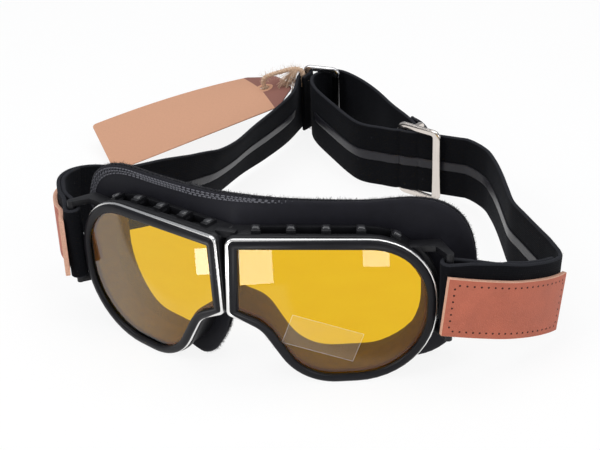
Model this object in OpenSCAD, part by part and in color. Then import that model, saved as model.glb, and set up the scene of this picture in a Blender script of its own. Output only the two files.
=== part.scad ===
// Motorcycle goggles: two flat lenses in chrome-edged frames on one rubber body, with a
// padded face seal, leather strap ends and an elastic strap with a sliding adjuster.
// +Z is up from the surface they stand on, -Y is the way the wearer looks, X = 0 is the
// symmetry plane of the lens frames and Y = 0 is the front of the nose bridge.

/* [Lens outline] */
// Width of one lens frame from its nose edge to its temple edge
frame_w = 80; // [76:1:84]
// Height of one lens frame
frame_h = 66; // [63:1:70]
// Angle that each lens frame turns back from the nose
wrap = 21.7; // [19:0.1:24]
// How far the top edge falls from nose to temple
brow_drop = 4.4; // [3:0.2:6]
// How far the nose edge leans out at its top
nose_lean = 1.2; // [0.4:0.2:2]
// Height of the lower nose corner
nose_h = 33; // [31:0.5:35]
// Distance from the nose edge to the hollow of the nose curve
hollow_x = 12; // [11:0.5:14]
// Height of the hollow of the nose curve
hollow_z = 26; // [24:0.5:28]
// Distance from the nose edge to the foot of the nose curve
foot_x = 27; // [25:0.5:29]
// Fillet of the two nose corners
nose_r = 3; // [2:0.2:4]
// Fillet in the hollow of the nose curve
hollow_r = 15; // [12:0.5:18]
// Fillet at the foot of the nose curve
foot_r = 25; // [21:0.5:28]
// Fillet of the lower temple corner
cheek_r = 31; // [27:0.5:33]
// Fillet of the upper temple corner
brow_r = 27; // [23:0.5:29]

/* [Rims and lenses] */
// Wall of the chrome rim
rim_t = 1.2; // [1:0.1:1.6]
// Depth of the chrome rim
rim_d = 3.6; // [3:0.1:4.2]
// How far the chrome rim sits behind the face of the bezel
rim_set = 0.7; // [0.3:0.1:1]
// Least gap between the two chrome rims at the nose
bridge_clear = 0.3; // [0.2:0.1:1]
// Width of the bezel's face
bezel_face = 3.2; // [2.6:0.1:4]
// Thickness of the bezel's front lip
bezel_lip = 1.4; // [1:0.1:2]
// How far the lens reaches under the lip
lens_lap = 1.6; // [1.2:0.1:2]
// Thickness of the lens
lens_t = 1.6; // [1.2:0.1:2.2]
// Depth of the sealing gasket behind the lens
gasket_d = 1.2; // [0.8:0.1:1.6]

/* [Rubber body] */
// Depth of the rubber body behind the bezel
body_d = 9.4; // [8:0.2:12]
// Wall of the rubber body
body_wall = 3; // [2.4:0.1:3.6]
// Inset of the rubber body from the lens outline
body_inset = 0.6; // [0.4:0.1:1]
// Number of posts between the brow vents of one side
vent_posts = 5; // [3:1:5]
// Distance from the nose edge to the first vent post
vent_first = 12.25; // [11:0.25:13]
// Distance from the last vent post to the temple edge
vent_last = 14.75; // [14.75:0.25:17]
// Width of a vent post
vent_post_w = 3.5; // [3:0.25:4.5]
// Opening of a vent along the depth of the body
vent_open = 5.4; // [4:0.2:6]
// Height of the nub on each vent post
nub_h = 1.2; // [0.8:0.1:1.6]
// Width of the bar across the top of the nose
bridge_w = 8; // [6:0.5:10]

/* [Face pad] */
// How far the pad flares above the frames
brow_flare = 8; // [6:0.5:11]
// How far the pad flares past the temples
temple_flare = 16; // [13:0.5:18]
// How far the pad flares below the frames
chin_flare = 0.8; // [0.2:0.2:1]
// How far the pad flares into the nose
nose_flare = 7.5; // [6:0.5:10]
// How far the nose flaps of the pad lean forward
nose_tuck = 6; // [2:0.5:7]
// Depth of the pad's edge at the nose
edge_y = 22; // [20:0.5:25]
// How fast the pad's edge sweeps back towards the temples
edge_sweep = 0.42; // [0.4:0.01:0.46]
// Thickness of the pad's front panel
panel_t = 1.6; // [1.2:0.1:2.2]
// How far the front panel bulges
panel_crown = 1.2; // [0.4:0.2:2]
// Thickness of the cushion at the face
cushion_t = 8; // [6:0.5:10]
// How far the cushion's crown stands behind the pad's edge
cushion_crown = 6; // [4:0.5:8]

/* [Strap] */
// Width of the elastic strap
strap_w = 32; // [30:0.5:34]
// Thickness of the elastic strap
strap_t = 1.8; // [1.4:0.1:2.2]
// Width of the silicone grip stripe
stripe_w = 4.5; // [3:0.5:6]
// Thickness of the silicone grip stripe
stripe_t = 0.4; // [0.2:0.1:0.6]
// Length of strap that is folded back and sewn at each lug
fold_l = 44; // [38:1:46]
// Height of the strap's lower edge at the lugs
lug_low = 21; // [19:0.5:22]
// Reach of the lug's bar past the lens frame
lug_reach = 4.6; // [4.4:0.1:6]
// Radius of the lug's bar
lug_bar_r = 1.5; // [1.2:0.1:1.8]
// Wall of the lug on the rubber body
lug_wall = 2.4; // [2:0.1:3]

/* [Leather patches] */
// Length of a leather patch
patch_l = 55; // [48:1:56]
// Height of a leather patch
patch_h = 26; // [24:0.5:30]
// Thickness of a leather patch
patch_t = 2; // [1.4:0.1:2.4]

/* [Buckles] */
// Radius of the upright bars of the slider and the ring
bar_r = 1.2; // [1:0.1:1.5]
// Thickness of their rails
rail_t = 2.4; // [2:0.1:2.8]
// Room between a rail and the edge of the strap
rail_gap = 0.8; // [0.5:0.1:1.2]
// Distance between neighbouring bars of the slider
slider_pitch = 9.2; // [8.5:0.1:10]
// Distance between the bars of the ring
ring_pitch = 17; // [16:0.5:18]

/* [Hang tag] */
// Length of the card
tag_l = 105; // [95:1:108]
// Width of the card
tag_w = 46; // [42:1:48]
// Thickness of the card
tag_t = 0.6; // [0.4:0.1:0.8]
// Radius of the string hole
tag_hole_r = 2.5; // [2.2:0.1:3]
// Distance from the hole to the end of the card
tag_hole_in = 12; // [10:0.5:13]
// Size of the cut corners beside the hole
tag_cut = 12; // [8:0.5:14]
// Diameter of the jute string
string_d = 1.6; // [1.2:0.1:1.8]

/* [Hidden] */

LEFT = -1;
RIGHT = 1;
$fn = 32;
// Gap between fixed pieces, running gap, and the smallest fillet
fit_gap = 0.1;
run_gap = 0.4;
least_r = 0.3;
// Steps in a fillet, in a stretch of strap and in a loop, and the pad's longest step
arc_steps = 8;
strap_steps = 5;
loop_steps = 10;
pad_step = 7;
string_sides = 8;
// More than any half of the goggles
far = 200;

bezel_d = bezel_lip + lens_t + gasket_d + 4 * fit_gap;
body_front = bezel_d + fit_gap;
body_back = body_front + body_d;
pad_front = body_back + fit_gap;
nose_x = (rim_set + rim_d) * sin(wrap) + bridge_clear / 2;
strap_low = rail_t + rail_gap;
edge_soft = 8;

// Corners of one lens outline and their fillets, anticlockwise from the lower nose corner
lens_corners = [
    [0, nose_h, nose_r],
    [hollow_x, hollow_z, hollow_r],
    [foot_x, 0, foot_r],
    [frame_w, 0, cheek_r],
    [frame_w, frame_h - brow_drop, brow_r],
    [nose_lean, frame_h, nose_r]
];
// The corners that lie on the outside of the pair, from the nose hollow to the brow
outer_corners = [1, 2, 3, 4];

function xy(p) = [p[0], p[1]];
function unit(v) = v / norm(v);
function left_of(v) = [-v[1], v[0]];
function lerp(a, b, t) = a + (b - a) * t;
function wrapped(list, i) = list[(i + len(list)) % len(list)];
function reversed(list) = [for (i = [len(list) - 1:-1:0]) list[i]];

// The same corners after every edge moves inwards by d
function inset(corners, d) = [
    for (i = [0:len(corners) - 1])
        let (
            here = corners[i],
            come = unit(xy(here) - xy(wrapped(corners, i - 1))),
            go = unit(xy(wrapped(corners, i + 1)) - xy(here)),
            moved = xy(here) + d * (left_of(come) + left_of(go)) / (1 + come * go),
            bend = sign(cross(come, go))
        )
        [moved[0], moved[1], max(here[2] - bend * d, least_r)]
];

// Half of the angle inside corner i, and the length of its fillet along each edge
function half_angle(c, i) =
    acos(unit(xy(wrapped(c, i - 1)) - xy(c[i])) * unit(xy(wrapped(c, i + 1)) - xy(c[i]))) / 2;
function tangent_l(c, i) = wrapped(c, i)[2] / tan(half_angle(c, (i + len(c)) % len(c)));

// Points of the fillet at corner i, made smaller where two fillets would meet
function fillet(c, i) =
    let (
        here = xy(c[i]),
        back = xy(wrapped(c, i - 1)) - here,
        ahead = xy(wrapped(c, i + 1)) - here,
        t = tangent_l(c, i),
        share = min(1, norm(back) / (t + tangent_l(c, i - 1)),
            norm(ahead) / (t + tangent_l(c, i + 1))),
        half = half_angle(c, i),
        r = t * share * tan(half),
        centre = here + unit(unit(back) + unit(ahead)) * r / sin(half),
        first = here + unit(back) * t * share - centre,
        start = atan2(first[1], first[0]),
        sweep = (180 - 2 * half) * sign(cross(-back, ahead))
    )
    [for (k = [0:arc_steps]) let (a = start + sweep * k / arc_steps) centre + r * [cos(a), sin(a)]];

function rounded(c) = [for (i = [0:len(c) - 1]) each fillet(c, i)];

// A point at u along the lens, v up it and w behind its front face, on the right side
function at_lens(u, v, w) = [
    nose_x + u * cos(wrap) - w * sin(wrap),
    u * sin(wrap) + w * cos(wrap),
    v
];

// Points along a list with no step longer than the given one
function densify(p, step) = concat(
    [
        for (i = [0:len(p) - 2])
            let (n = ceil(norm(p[i + 1] - p[i]) / step))
                for (k = [0:n - 1]) lerp(p[i], p[i + 1], k / n)
    ],
    [p[len(p) - 1]]
);

// A smooth curve through points, which leaves and arrives in line with two more
function curve_point(a, b, c, d, t) =
    (2 * b + (c - a) * t + (2 * a - 5 * b + 4 * c - d) * t * t
        + (3 * b - a - 3 * c + d) * t * t * t) / 2;
function curve(before, p, after) =
    let (q = concat([before], p, [after]))
    concat(
        [
            for (i = [1:len(p) - 1])
                for (k = [0:strap_steps - 1])
                    curve_point(q[i - 1], q[i], q[i + 1], q[i + 2], k / strap_steps)
        ],
        [p[len(p) - 1]]
    );

// Length of a strap route up to each point, and the place at a length along it
function lengths(route) = [
    for (i = 0, s = 0; i < len(route);
        s = s + (i + 1 < len(route) ? norm(xy(route[i + 1]) - xy(route[i])) : 0), i = i + 1) s
];
function along(route, s) =
    let (all = lengths(route))
    [for (c = [0:3]) lookup(s, [for (i = [0:len(route) - 1]) [all[i], route[i][c]]])];
function total(route) = lengths(route)[len(route) - 1];
// The place a little way out from the start of a route
function ahead_of(route, d) =
    let (p = route[0], run = unit(xy(route[1]) - xy(p)))
    [p[0] - run[0] * d, p[1] - run[1] * d, p[2], p[3]];

// Direction of a route in plan at point i, its side to the right of that direction, and the
// way up its face, square to a lower edge that rises or falls
function last_of(route, i) = route[max(i - 1, 0)];
function next_of(route, i) = route[min(i + 1, len(route) - 1)];
function heading(route, i) = unit(xy(next_of(route, i)) - xy(last_of(route, i)));
function right_side(route, i) = -left_of(heading(route, i));
function up_face(route, i) =
    let (
        was = last_of(route, i),
        next = next_of(route, i),
        drop = atan2(was[2] - next[2], norm(xy(next) - xy(was))),
        lean = route[i][3],
        run = heading(route, i) * sin(drop) * cos(lean),
        aside = right_side(route, i) * sin(lean)
    )
    [run[0] + aside[0], run[1] + aside[1], cos(drop) * cos(lean)];

// A closed solid through a list of sections, each a loop of points
module swept(sections, ring) {
    n = len(sections);
    m = len(sections[0]);
    sides = [
        for (i = [0:ring ? n - 1 : n - 2])
            for (k = [0:m - 1])
                let (
                    a = i * m + k,
                    b = i * m + (k + 1) % m,
                    c = ((i + 1) % n) * m + (k + 1) % m,
                    d = ((i + 1) % n) * m + k
                )
                each [[a, b, c], [a, c, d]]
    ];
    last = (n - 1) * m;
    ends = ring ? [] : [
        for (k = [0:m / 2 - 2])
            let (far_k = m - 1 - k)
            each [
                [k, far_k - 1, k + 1],
                [k, far_k, far_k - 1],
                [last + k, last + k + 1, last + far_k - 1],
                [last + k, last + far_k - 1, last + far_k]
            ]
    ];
    polyhedron([for (s = sections) each s], concat(sides, ends));
}

// A flat band along a route of [x, y, lower edge, lean], through heights above that edge
module band(route, thick, shift, heights) {
    swept([
        for (i = [0:len(route) - 1])
            let (
                n = right_side(route, i),
                foot = [route[i][0], route[i][1], route[i][2]],
                out = [n[0], n[1], 0],
                up = up_face(route, i),
                inner = shift - thick / 2,
                outer = shift + thick / 2
            )
            concat(
                [for (h = heights) foot + out * outer + up * h],
                [for (h = reversed(heights)) foot + out * inner + up * h]
            )
    ], false);
}

// Lens frames: x along the lens, y up it and z out of its front face
module on_lens(side) {
    mirror([side == LEFT ? 1 : 0, 0, 0])
        translate([nose_x, 0, 0])
            rotate([0, 0, wrap])
                rotate([90, 0, 0])
                    children();
}

module outline(d) {
    polygon(rounded(inset(lens_corners, d)));
}

// A flat ring or plate that starts at a depth behind the front face
module plate(outer, front, depth) {
    translate([0, 0, -front - depth])
        linear_extrude(depth)
            outline(outer);
}

module hoop(outer, inner, front, depth) {
    translate([0, 0, -front - depth])
        linear_extrude(depth)
            difference() {
                outline(outer);
                outline(inner);
            }
}

bezel_outer = rim_t + fit_gap;
bezel_inner = rim_t + bezel_face;
seat_inner = bezel_inner - lens_lap;
lens_front = bezel_lip + fit_gap;
gasket_front = lens_front + lens_t + fit_gap;

module bezel(side) {
    color("#2b2c31") on_lens(side) {
        hoop(bezel_outer, bezel_inner, 0, bezel_lip);
        hoop(bezel_outer, seat_inner, bezel_lip, bezel_d - bezel_lip);
    }
}

module chrome_rim(side) {
    color("#d8d6d0") on_lens(side) hoop(0, rim_t, rim_set, rim_d);
}

module lens(side) {
    color("#e0b010", 0.6) on_lens(side) plate(seat_inner + fit_gap, lens_front, lens_t);
}

module lens_gasket(side) {
    color("#1a1a1c") on_lens(side)
        hoop(seat_inner + fit_gap, bezel_inner, gasket_front, gasket_d);
}

// Rubber body: both skirts, cut at the symmetry plane and joined there, with brow vents
module half_space() {
    translate([0, -far, -far]) cube(2 * far);
}

vent_pitch = (frame_w - vent_first - vent_last) / (vent_posts - 1);
function post_at(i) = vent_first + i * vent_pitch;
vent_front = body_front + (body_d - vent_open) / 2;
bridge_front = body_front + 1.5;
bridge_d = 3;

// A slice of the brow at a place along the lens
module brow_slice(from, to, front, depth) {
    translate([from, frame_h / 2, -front - depth]) cube([to - from, frame_h, depth]);
}

module skirt() {
    difference() {
        hoop(body_inset, body_inset + body_wall, body_front, body_d);
        for (i = [0:vent_posts - 2])
            brow_slice(post_at(i) + vent_post_w / 2, post_at(i + 1) - vent_post_w / 2,
                vent_front, vent_open);
    }
    for (i = [0:vent_posts - 1])
        intersection() {
            hoop(body_inset - nub_h, body_inset + body_wall / 2, vent_front, vent_open);
            brow_slice(post_at(i) - vent_post_w / 2, post_at(i) + vent_post_w / 2,
                vent_front, vent_open);
        }
}

module rubber_body() {
    color("#17171a") union() {
        for (side = [LEFT, RIGHT])
            intersection() {
                on_lens(side) skirt();
                mirror([side == LEFT ? 1 : 0, 0, 0]) half_space();
            }
        translate([-bridge_w / 2, bridge_front, frame_h - body_inset - body_wall / 2])
            cube([bridge_w, bridge_d, body_wall / 2 + nub_h]);
    }
}

// Face pad: a front panel and a cushion swept round the back edge of the rubber body
pad_corners = inset(lens_corners, body_inset);
centre_u = (pad_front * sin(wrap) - nose_x) / cos(wrap);
function edge_v(a, b) = lerp(a[1], b[1], (centre_u - a[0]) / (b[0] - a[0]));

pad_half = densify([
    for (p = concat(
        [[centre_u, edge_v(pad_corners[0], pad_corners[1])]],
        [for (i = outer_corners) each fillet(pad_corners, i)],
        [[centre_u, edge_v(pad_corners[5], pad_corners[4])]]
    )) at_lens(p[0], p[1], pad_front)
], pad_step);
pad_loop = concat(
    pad_half,
    [for (i = [len(pad_half) - 2:-1:1]) [-pad_half[i][0], pad_half[i][1], pad_half[i][2]]]
);

function edge_depth(x) =
    edge_y + sqrt(edge_soft * edge_soft + pow(edge_sweep * x, 2)) - edge_soft;
// How much the outward direction faces the nose, which is even across the top of its arch
function nose_share(n, x) =
    max(-n[0] * sign(x), n[2] < 0 && abs(x) < hollow_x / 2 ? 0.5 : 0);
function flare(n, x) =
    brow_flare * pow(max(n[2], 0), 2) + chin_flare * pow(max(-n[2], 0), 2)
        + temple_flare * pow(max(n[0] * sign(x), 0), n[2] > 0 ? 1.6 : 1.1)
        + nose_flare * pow(nose_share(n, x), 2);
function tuck(n, x) = nose_tuck * min(1, 1.6 * nose_share(n, x));
// The pad is flattened where it comes down to the surface
function lifted(p) = [p[0], p[1], max(p[2], pad_rest)];

// Front point, edge point and outward direction of the pad at station i
function pad_out(i) =
    let (d = wrapped(pad_loop, i + 1) - wrapped(pad_loop, i - 1))
    unit([d[2], 0, -d[0]]);
function pad_edge(i) =
    let (
        n = pad_out(i),
        x = pad_loop[i][0],
        p = pad_loop[i] + n * flare(n, x)
    )
    lifted([p[0], edge_depth(p[0]) - tuck(n, x), p[2]]);

back = [0, 1, 0];
neck_t = 4;
pad_rest = 0.4;
pad_gap = 0.8;
skin = panel_t + pad_gap;

// The outward direction of the pad, laid in the plane of the rubber body's back
function in_back_plane(n, side) =
    let (depth = [-side * sin(wrap), cos(wrap), 0]) n - depth * (n * depth);

function pad_station(i) =
    let (
        n = pad_out(i),
        front = pad_loop[i],
        edge = pad_edge(i),
        run = unit(edge - front),
        inward = unit(back * (run * n) - n * (run * back)),
        bulge = panel_crown * max(run * back, 0)
    )
    [
        front, edge, n, lifted((front + edge) / 2 - inward * bulge),
        in_back_plane(n, sign(front[0])), inward,
        edge + back * max(front[1] + neck_t / 2 - edge[1], 0)
    ];

module pad_panel() {
    color("#202126") swept([
        for (i = [0:len(pad_loop) - 1])
            let (s = pad_station(i), front = s[0], edge = s[1], mid = s[3], inward = s[5])
            [
                front,
                front - s[4] * panel_t,
                front + (back - s[2] * 0.6) * panel_t,
                mid + inward * panel_t,
                edge + inward * panel_t,
                edge,
                mid
            ]
    ], true);
}

module face_cushion() {
    color("#131315") swept([
        for (i = [0:len(pad_loop) - 1])
            let (s = pad_station(i), front = s[0], n = s[2], inward = s[5], rear = s[6])
            [
                front - s[4] * skin,
                front - s[4] * (skin + neck_t),
                rear - n * cushion_t + back * skin,
                rear - n * cushion_t * 0.75 + back * cushion_crown * 0.75,
                rear - n * cushion_t * 0.4 + back * cushion_crown,
                rear - n * skin * 0.6 + back * cushion_crown * 0.7,
                s[1] + inward * skin,
                s[3] + inward * skin,
                front + (back - n * 0.6) * skin
            ]
    ], true);
}

// Strap lugs: x along the lens, y behind its front face and z up
lug_rail = rail_t;
lug_high = lug_low + strap_w;
lug_u = frame_w + lug_reach;
lug_root = frame_w - 12;

module in_plan(side) {
    mirror([side == LEFT ? 1 : 0, 0, 0])
        translate([nose_x, 0, 0])
            rotate([0, 0, wrap])
                children();
}

module lug_arm(low) {
    translate([0, 0, low])
        linear_extrude(lug_rail)
            polygon([
                [lug_u - lug_bar_r, 0],
                [lug_u + lug_bar_r, 0],
                [frame_w + lug_wall, body_back - lug_wall],
                [lug_root, body_back - lug_wall],
                [lug_root, body_front + lug_wall],
                [frame_w, body_front + lug_wall / 2]
            ]);
}

module strap_lug(side) {
    arm_low = lug_low - rail_gap - lug_rail;
    arm_high = lug_high + rail_gap;
    color("#1b1b1e") difference() {
        union() {
            in_plan(side) {
                lug_arm(arm_low);
                lug_arm(arm_high);
                translate([lug_u, 0, arm_low])
                    cylinder(h = arm_high + lug_rail - arm_low, r = lug_bar_r);
            }
            on_lens(side) intersection() {
                hoop(body_inset - lug_wall, body_inset, body_front + lug_wall / 2,
                    body_d - 1.5 * lug_wall);
                translate([frame_w / 2, arm_low, -far])
                    cube([frame_w, arm_high + lug_rail - arm_low, far]);
            }
        }
        on_lens(side) plate(body_inset - fit_gap, 0, body_back + lug_wall);
    }
}

// Strap routes: [x, y, height of the lower edge, lean of the upper edge to the right]
lug_bar = at_lens(lug_u, lug_low, 0);
lug_loop_r = lug_bar_r + run_gap + strap_t / 2;
bar_loop_r = bar_r + run_gap + strap_t / 2;
lap = strap_t + fit_gap;

// Straight stretch that the slider runs on, and the upright bars of the ring
run_start = [52, 180];
run_end = [2, 183.5];
run_dir = unit(run_end - run_start);
run_back = -left_of(run_dir);
slider_at = (run_start + run_end) / 2;
ring_left = [-53.5, 246];
ring_right = ring_left + [ring_pitch, -0.5];

// The stretches beside the lugs keep their place from the lug's bar
function from_lug(side, way) =
    [for (p = way) [lug_centre(side)[0] + p[0], lug_centre(side)[1] + p[1], p[2], p[3]]];
right_lug_way = from_lug(RIGHT, [
    [10.65, 5.02, 18, 0], [20.65, 14.72, 13.5, 0], [28.65, 26.72, 9, 0],
    [33.15, 38.72, 5.5, 0], [33.15, 48.72, 4, 0], [28.15, 58.72, 3.5, 0]
]);
right_side_way = [
    [101.5, 100, strap_low, 0],
    [93.5, 111, strap_low, 0], [86.5, 121, strap_low, 0], [81.5, 133, strap_low, 0],
    [75.5, 148, strap_low, 0], [69.5, 161, strap_low, 0], [63, 171.5, strap_low, 0]
];
front_way = [
    [-6, 190.5, strap_low, 0], [-23.5, 204, strap_low, 0], [-39.5, 222, strap_low, 0],
    [-46.5, 234, strap_low, 0]
];
return_way = [
    [-47.5, 243, strap_low, 0], [-42.5, 250, strap_low, 0], [-34.5, 251, strap_low, 0],
    [-21.5, 242, strap_low, 0], [-8.5, 229, strap_low, 0], [4.5, 213, strap_low, 0],
    [15.5, 201, strap_low, 0], [22, 193, strap_low, 0]
];
left_lug_way = from_lug(LEFT, [
    [-7.25, 7.02, 21, 0], [-13.85, 14.72, 20.5, 0], [-20.45, 26.22, 19.5, 0],
    [-21.95, 37.72, 17.5, 0], [-18.15, 48.72, 14.5, 0], [-9.15, 56.22, 12, 0]
]);
left_side_way = [
    [-79, 99, 9, 0], [-73, 117, 6.5, 7],
    [-71, 135, 5, 14], [-69, 154, strap_low, 24], [-66, 175, strap_low, 20],
    [-61, 195, strap_low, 16], [-57, 217, strap_low, 11], [-56.2, 236, strap_low, 2]
];

function on_strap(p, low) = [p[0], p[1], low, 0];
function polar(centre, r, a, low) =
    [centre[0] + r * cos(a), centre[1] + r * sin(a), low, 0];
function arc(centre, r, from, to, low) =
    [for (k = [0:loop_steps]) polar(centre, r, lerp(from, to, k / loop_steps), low)];

// The sewn end at a lug: back along the strap, round the bar and out again
function lug_centre(side) = [side * lug_bar[0], lug_bar[1]];
function lug_turn(side, way) =
    let (d = unit(xy(way[0]) - lug_centre(side)), a = atan2(d[1], d[0]))
    arc(lug_centre(side), lug_loop_r, a + side * 90, a + side * 270, lug_low);
function fold(side, outer) = [
    for (k = [loop_steps:-1:1])
        let (
            s = fold_l * k / loop_steps,
            here = along(outer, s),
            ahead = along(outer, s + 1),
            inward = side * left_of(unit(xy(ahead) - xy(here))),
            gap = lerp(2 * lug_loop_r, lap, min(1, s / (5 * lug_loop_r)))
        )
        [here[0] + inward[0] * gap, here[1] + inward[1] * gap, here[2], here[3]]
];

right_turn = lug_turn(RIGHT, right_lug_way);
left_turn = lug_turn(LEFT, left_lug_way);
run_points = [
    for (k = [0:strap_steps])
        on_strap(lerp(run_start, run_end, k / strap_steps), strap_low)
];

right_outer = curve(
    right_turn[loop_steps - 2],
    concat([right_turn[loop_steps]], right_lug_way, right_side_way, [run_points[0]]),
    run_points[1]
);
front_run = curve(
    run_points[strap_steps - 1],
    concat([run_points[strap_steps]], front_way, [return_way[0]]),
    return_way[1]
);
right_route = concat(
    fold(RIGHT, right_outer), right_turn,
    [for (i = [1:len(right_outer) - 1]) right_outer[i]],
    [for (i = [1:strap_steps]) run_points[i]],
    [for (i = [1:len(front_run) - 2]) front_run[i]],
    [along(front_run, total(front_run) - run_gap)]
);

// The return layer ends in a sewn loop round the slider's centre bar
slider_mid_out = bar_loop_r + strap_t + run_gap;
slider_mid = slider_at + run_back * slider_mid_out;
slider_turn = arc(slider_mid, bar_loop_r, 180, 360, strap_low);
return_tail = slider_mid + [bar_loop_r * 0.7, 3 * bar_loop_r];
return_route = concat(
    curve(
        front_way[len(front_way) - 1],
        concat(return_way, [slider_turn[0]]),
        slider_turn[2]
    ),
    [for (i = [1:loop_steps]) slider_turn[i]],
    [on_strap(return_tail, strap_low)]
);

// The left strap ends in a sewn loop round the ring's left bar
ring_turn = arc(ring_left, bar_loop_r, 180, 0, strap_low);
ring_tail = ring_left + [bar_loop_r * 0.35, -4 * bar_loop_r];
left_outer = curve(
    left_turn[loop_steps - 2],
    concat([left_turn[loop_steps]], left_lug_way, left_side_way, [ring_turn[0]]),
    ring_turn[2]
);
left_route = concat(
    fold(LEFT, left_outer), left_turn,
    [for (i = [1:len(left_outer) - 1]) left_outer[i]],
    [for (i = [1:loop_steps]) ring_turn[i]],
    [on_strap(ring_tail, strap_low)]
);

module strap_right() {
    color("#101012") band(right_route, strap_t, 0, [0, strap_w]);
}

module strap_return() {
    color("#101012") band(return_route, strap_t, 0, [0, strap_w]);
}

module strap_left() {
    color("#101012") band(left_route, strap_t, 0, [0, stripe_low, stripe_high, strap_w]);
}

// Silicone stripes along the head side of the strap, clear of the sewn ends
stripe_shift = strap_t / 2 + stripe_t / 2 + fit_gap;
stripe_low = (strap_w - stripe_w) / 2;
stripe_high = stripe_low + stripe_w;
stripe_start = fold_l + 8;
stripe_end = 22;

function between(route, from, to) =
    let (all = lengths(route))
    [for (i = [0:len(route) - 1]) if (all[i] > from && all[i] < to) route[i]];

module grip_stripe(side) {
    outer = side == RIGHT
        ? concat(right_outer, [for (i = [1:strap_steps]) run_points[i]],
            [for (i = [1:len(front_run) - 1]) front_run[i]])
        : left_outer;
    color("#4c4c52")
        band(between(outer, stripe_start, total(outer) - stripe_end),
            stripe_t, -side * stripe_shift, [stripe_low, stripe_high]);
}

// Leather patches on the outside of the sewn ends
patch_lead = 3;
patch_low = 0.5;
patch_gap = 0.7;
patch_shift = strap_t / 2 + patch_gap + patch_t / 2;

module leather_patch(side) {
    outer = side == RIGHT ? right_outer : left_outer;
    end = patch_l - patch_lead;
    color("#c26a4c")
        band(concat([ahead_of(outer, patch_lead), outer[0]],
            between(outer, 0, end - 1), [along(outer, end)]),
            patch_t, side * patch_shift, [patch_low, patch_low + patch_h]);
}

// Slider: x along the strap, y behind it and z up, with the strap behind its first bar only
rail_over = 0.3;
rail_low = strap_low - rail_gap - rail_t;
rail_high = strap_low + strap_w + rail_gap;
first_bar = [-slider_pitch, -strap_t / 2 - stripe_t - run_gap - bar_r];
last_bar = [slider_pitch, strap_t / 2 + run_gap + bar_r];

// A bar between the middles of the two rails, and a rail a little wider than the bars
module upright(at) {
    translate([at[0], at[1], rail_low + rail_t / 2])
        cylinder(h = rail_high - rail_low, r = bar_r);
}

module rail(from, to, low) {
    d = to - from;
    over = bar_r + rail_over;
    translate([from[0], from[1], low])
        rotate([0, 0, atan2(d[1], d[0])])
            translate([-over, -over, 0])
                cube([norm(d) + 2 * over, 2 * over, rail_t]);
}

module strap_slider() {
    mid_bar = [0, slider_mid_out];
    color("#d9cfc0")
        translate([slider_at[0], slider_at[1], 0])
            rotate([0, 0, atan2(run_dir[1], run_dir[0])])
                mirror([0, 1, 0]) {
                    upright(first_bar);
                    upright(mid_bar);
                    upright(last_bar);
                    for (low = [rail_low, rail_high]) {
                        rail(first_bar, last_bar, low);
                        rail((first_bar + last_bar) / 2, mid_bar, low);
                    }
                }
}

module strap_ring() {
    color("#cfc8bf") {
        upright(ring_left);
        upright(ring_right);
        for (low = [rail_low, rail_high]) rail(ring_left, ring_right, low);
    }
}

// Hang tag on its string: x along the card, from its hole, and y across it
tag_at = [-75.5, 236.5, 28];
tag_turn = [11.2, -12.7, 39.3];

module on_tag() {
    translate(tag_at)
        rotate([0, 0, tag_turn[2]])
            rotate([0, tag_turn[1], 0])
                rotate([tag_turn[0], 0, 0])
                    children();
}

module hang_tag() {
    end = tag_hole_in;
    start = tag_hole_in - tag_l;
    half = tag_w / 2;
    color("#d2a27f") on_tag()
        difference() {
            translate([0, 0, -tag_t / 2])
                linear_extrude(tag_t)
                    polygon([
                        [start, -half], [end - tag_cut, -half], [end, tag_cut - half],
                        [end, half - tag_cut], [end - tag_cut, half], [start, half]
                    ]);
            translate([0, 0, -tag_t]) cylinder(h = 2 * tag_t, r = tag_hole_r);
        }
}

// String from its knot under the card, up through the hole and over to the end of the strap
knot_r = tag_hole_r + 1;
knot_h = 2.4;
string_route = [
    [-75.4, 237.4, 25], [-75.5, 236.5, 28], [-75.6, 235.6, 30.5], [-74.2, 235.6, 33],
    [-70.5, 236.6, 34.8], [-65.5, 238, 36.3], [-61, 239.3, 37.6], [-57.6, 240.2, 37.9],
    [-55.3, 240.4, 37.4], [-54, 240.5, 35.9], [-53.95, 240.5, 33], [-53.95, 240.5, 28]
];

module tag_string() {
    n = len(string_route);
    color("#c9a57c") {
        on_tag() translate([0, 0, -tag_t / 2 - fit_gap - knot_h]) cylinder(h = knot_h, r = knot_r);
        cord(n);
    }
}

module cord(n) {
    swept([
        for (i = [0:n - 1])
            let (
                d = unit(string_route[min(i + 1, n - 1)] - string_route[max(i - 1, 0)]),
                side = unit(cross(d, [1, 0, 0])),
                up = cross(side, d)
            )
            [
                for (k = [0:string_sides - 1])
                    let (a = 360 * k / string_sides)
                        string_route[i] + (side * cos(a) + up * sin(a)) * string_d / 2
            ]
    ], false);
}

bezel(LEFT);  // bezel_left
bezel(RIGHT);  // bezel_right
chrome_rim(LEFT);  // chrome_rim_left
chrome_rim(RIGHT);  // chrome_rim_right
lens(LEFT);  // lens_left
lens(RIGHT);  // lens_right
lens_gasket(LEFT);  // lens_gasket_left
lens_gasket(RIGHT);  // lens_gasket_right
rubber_body();
pad_panel();
face_cushion();
strap_lug(LEFT);  // strap_lug_left
strap_lug(RIGHT);  // strap_lug_right
leather_patch(LEFT);  // leather_patch_left
leather_patch(RIGHT);  // leather_patch_right
strap_left();
strap_right();
strap_return();
grip_stripe(LEFT);  // grip_stripe_left
grip_stripe(RIGHT);  // grip_stripe_right
strap_slider();
strap_ring();
hang_tag();
tag_string();
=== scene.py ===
"""Looks of the motorcycle goggles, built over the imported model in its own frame, in metres."""
import logging
import math
import random
from dataclasses import dataclass, field
from enum import Enum
from typing import Any, Callable, Iterable, Optional, Sequence, Union

import bmesh
import bpy
from mathutils import Matrix, Vector


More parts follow.
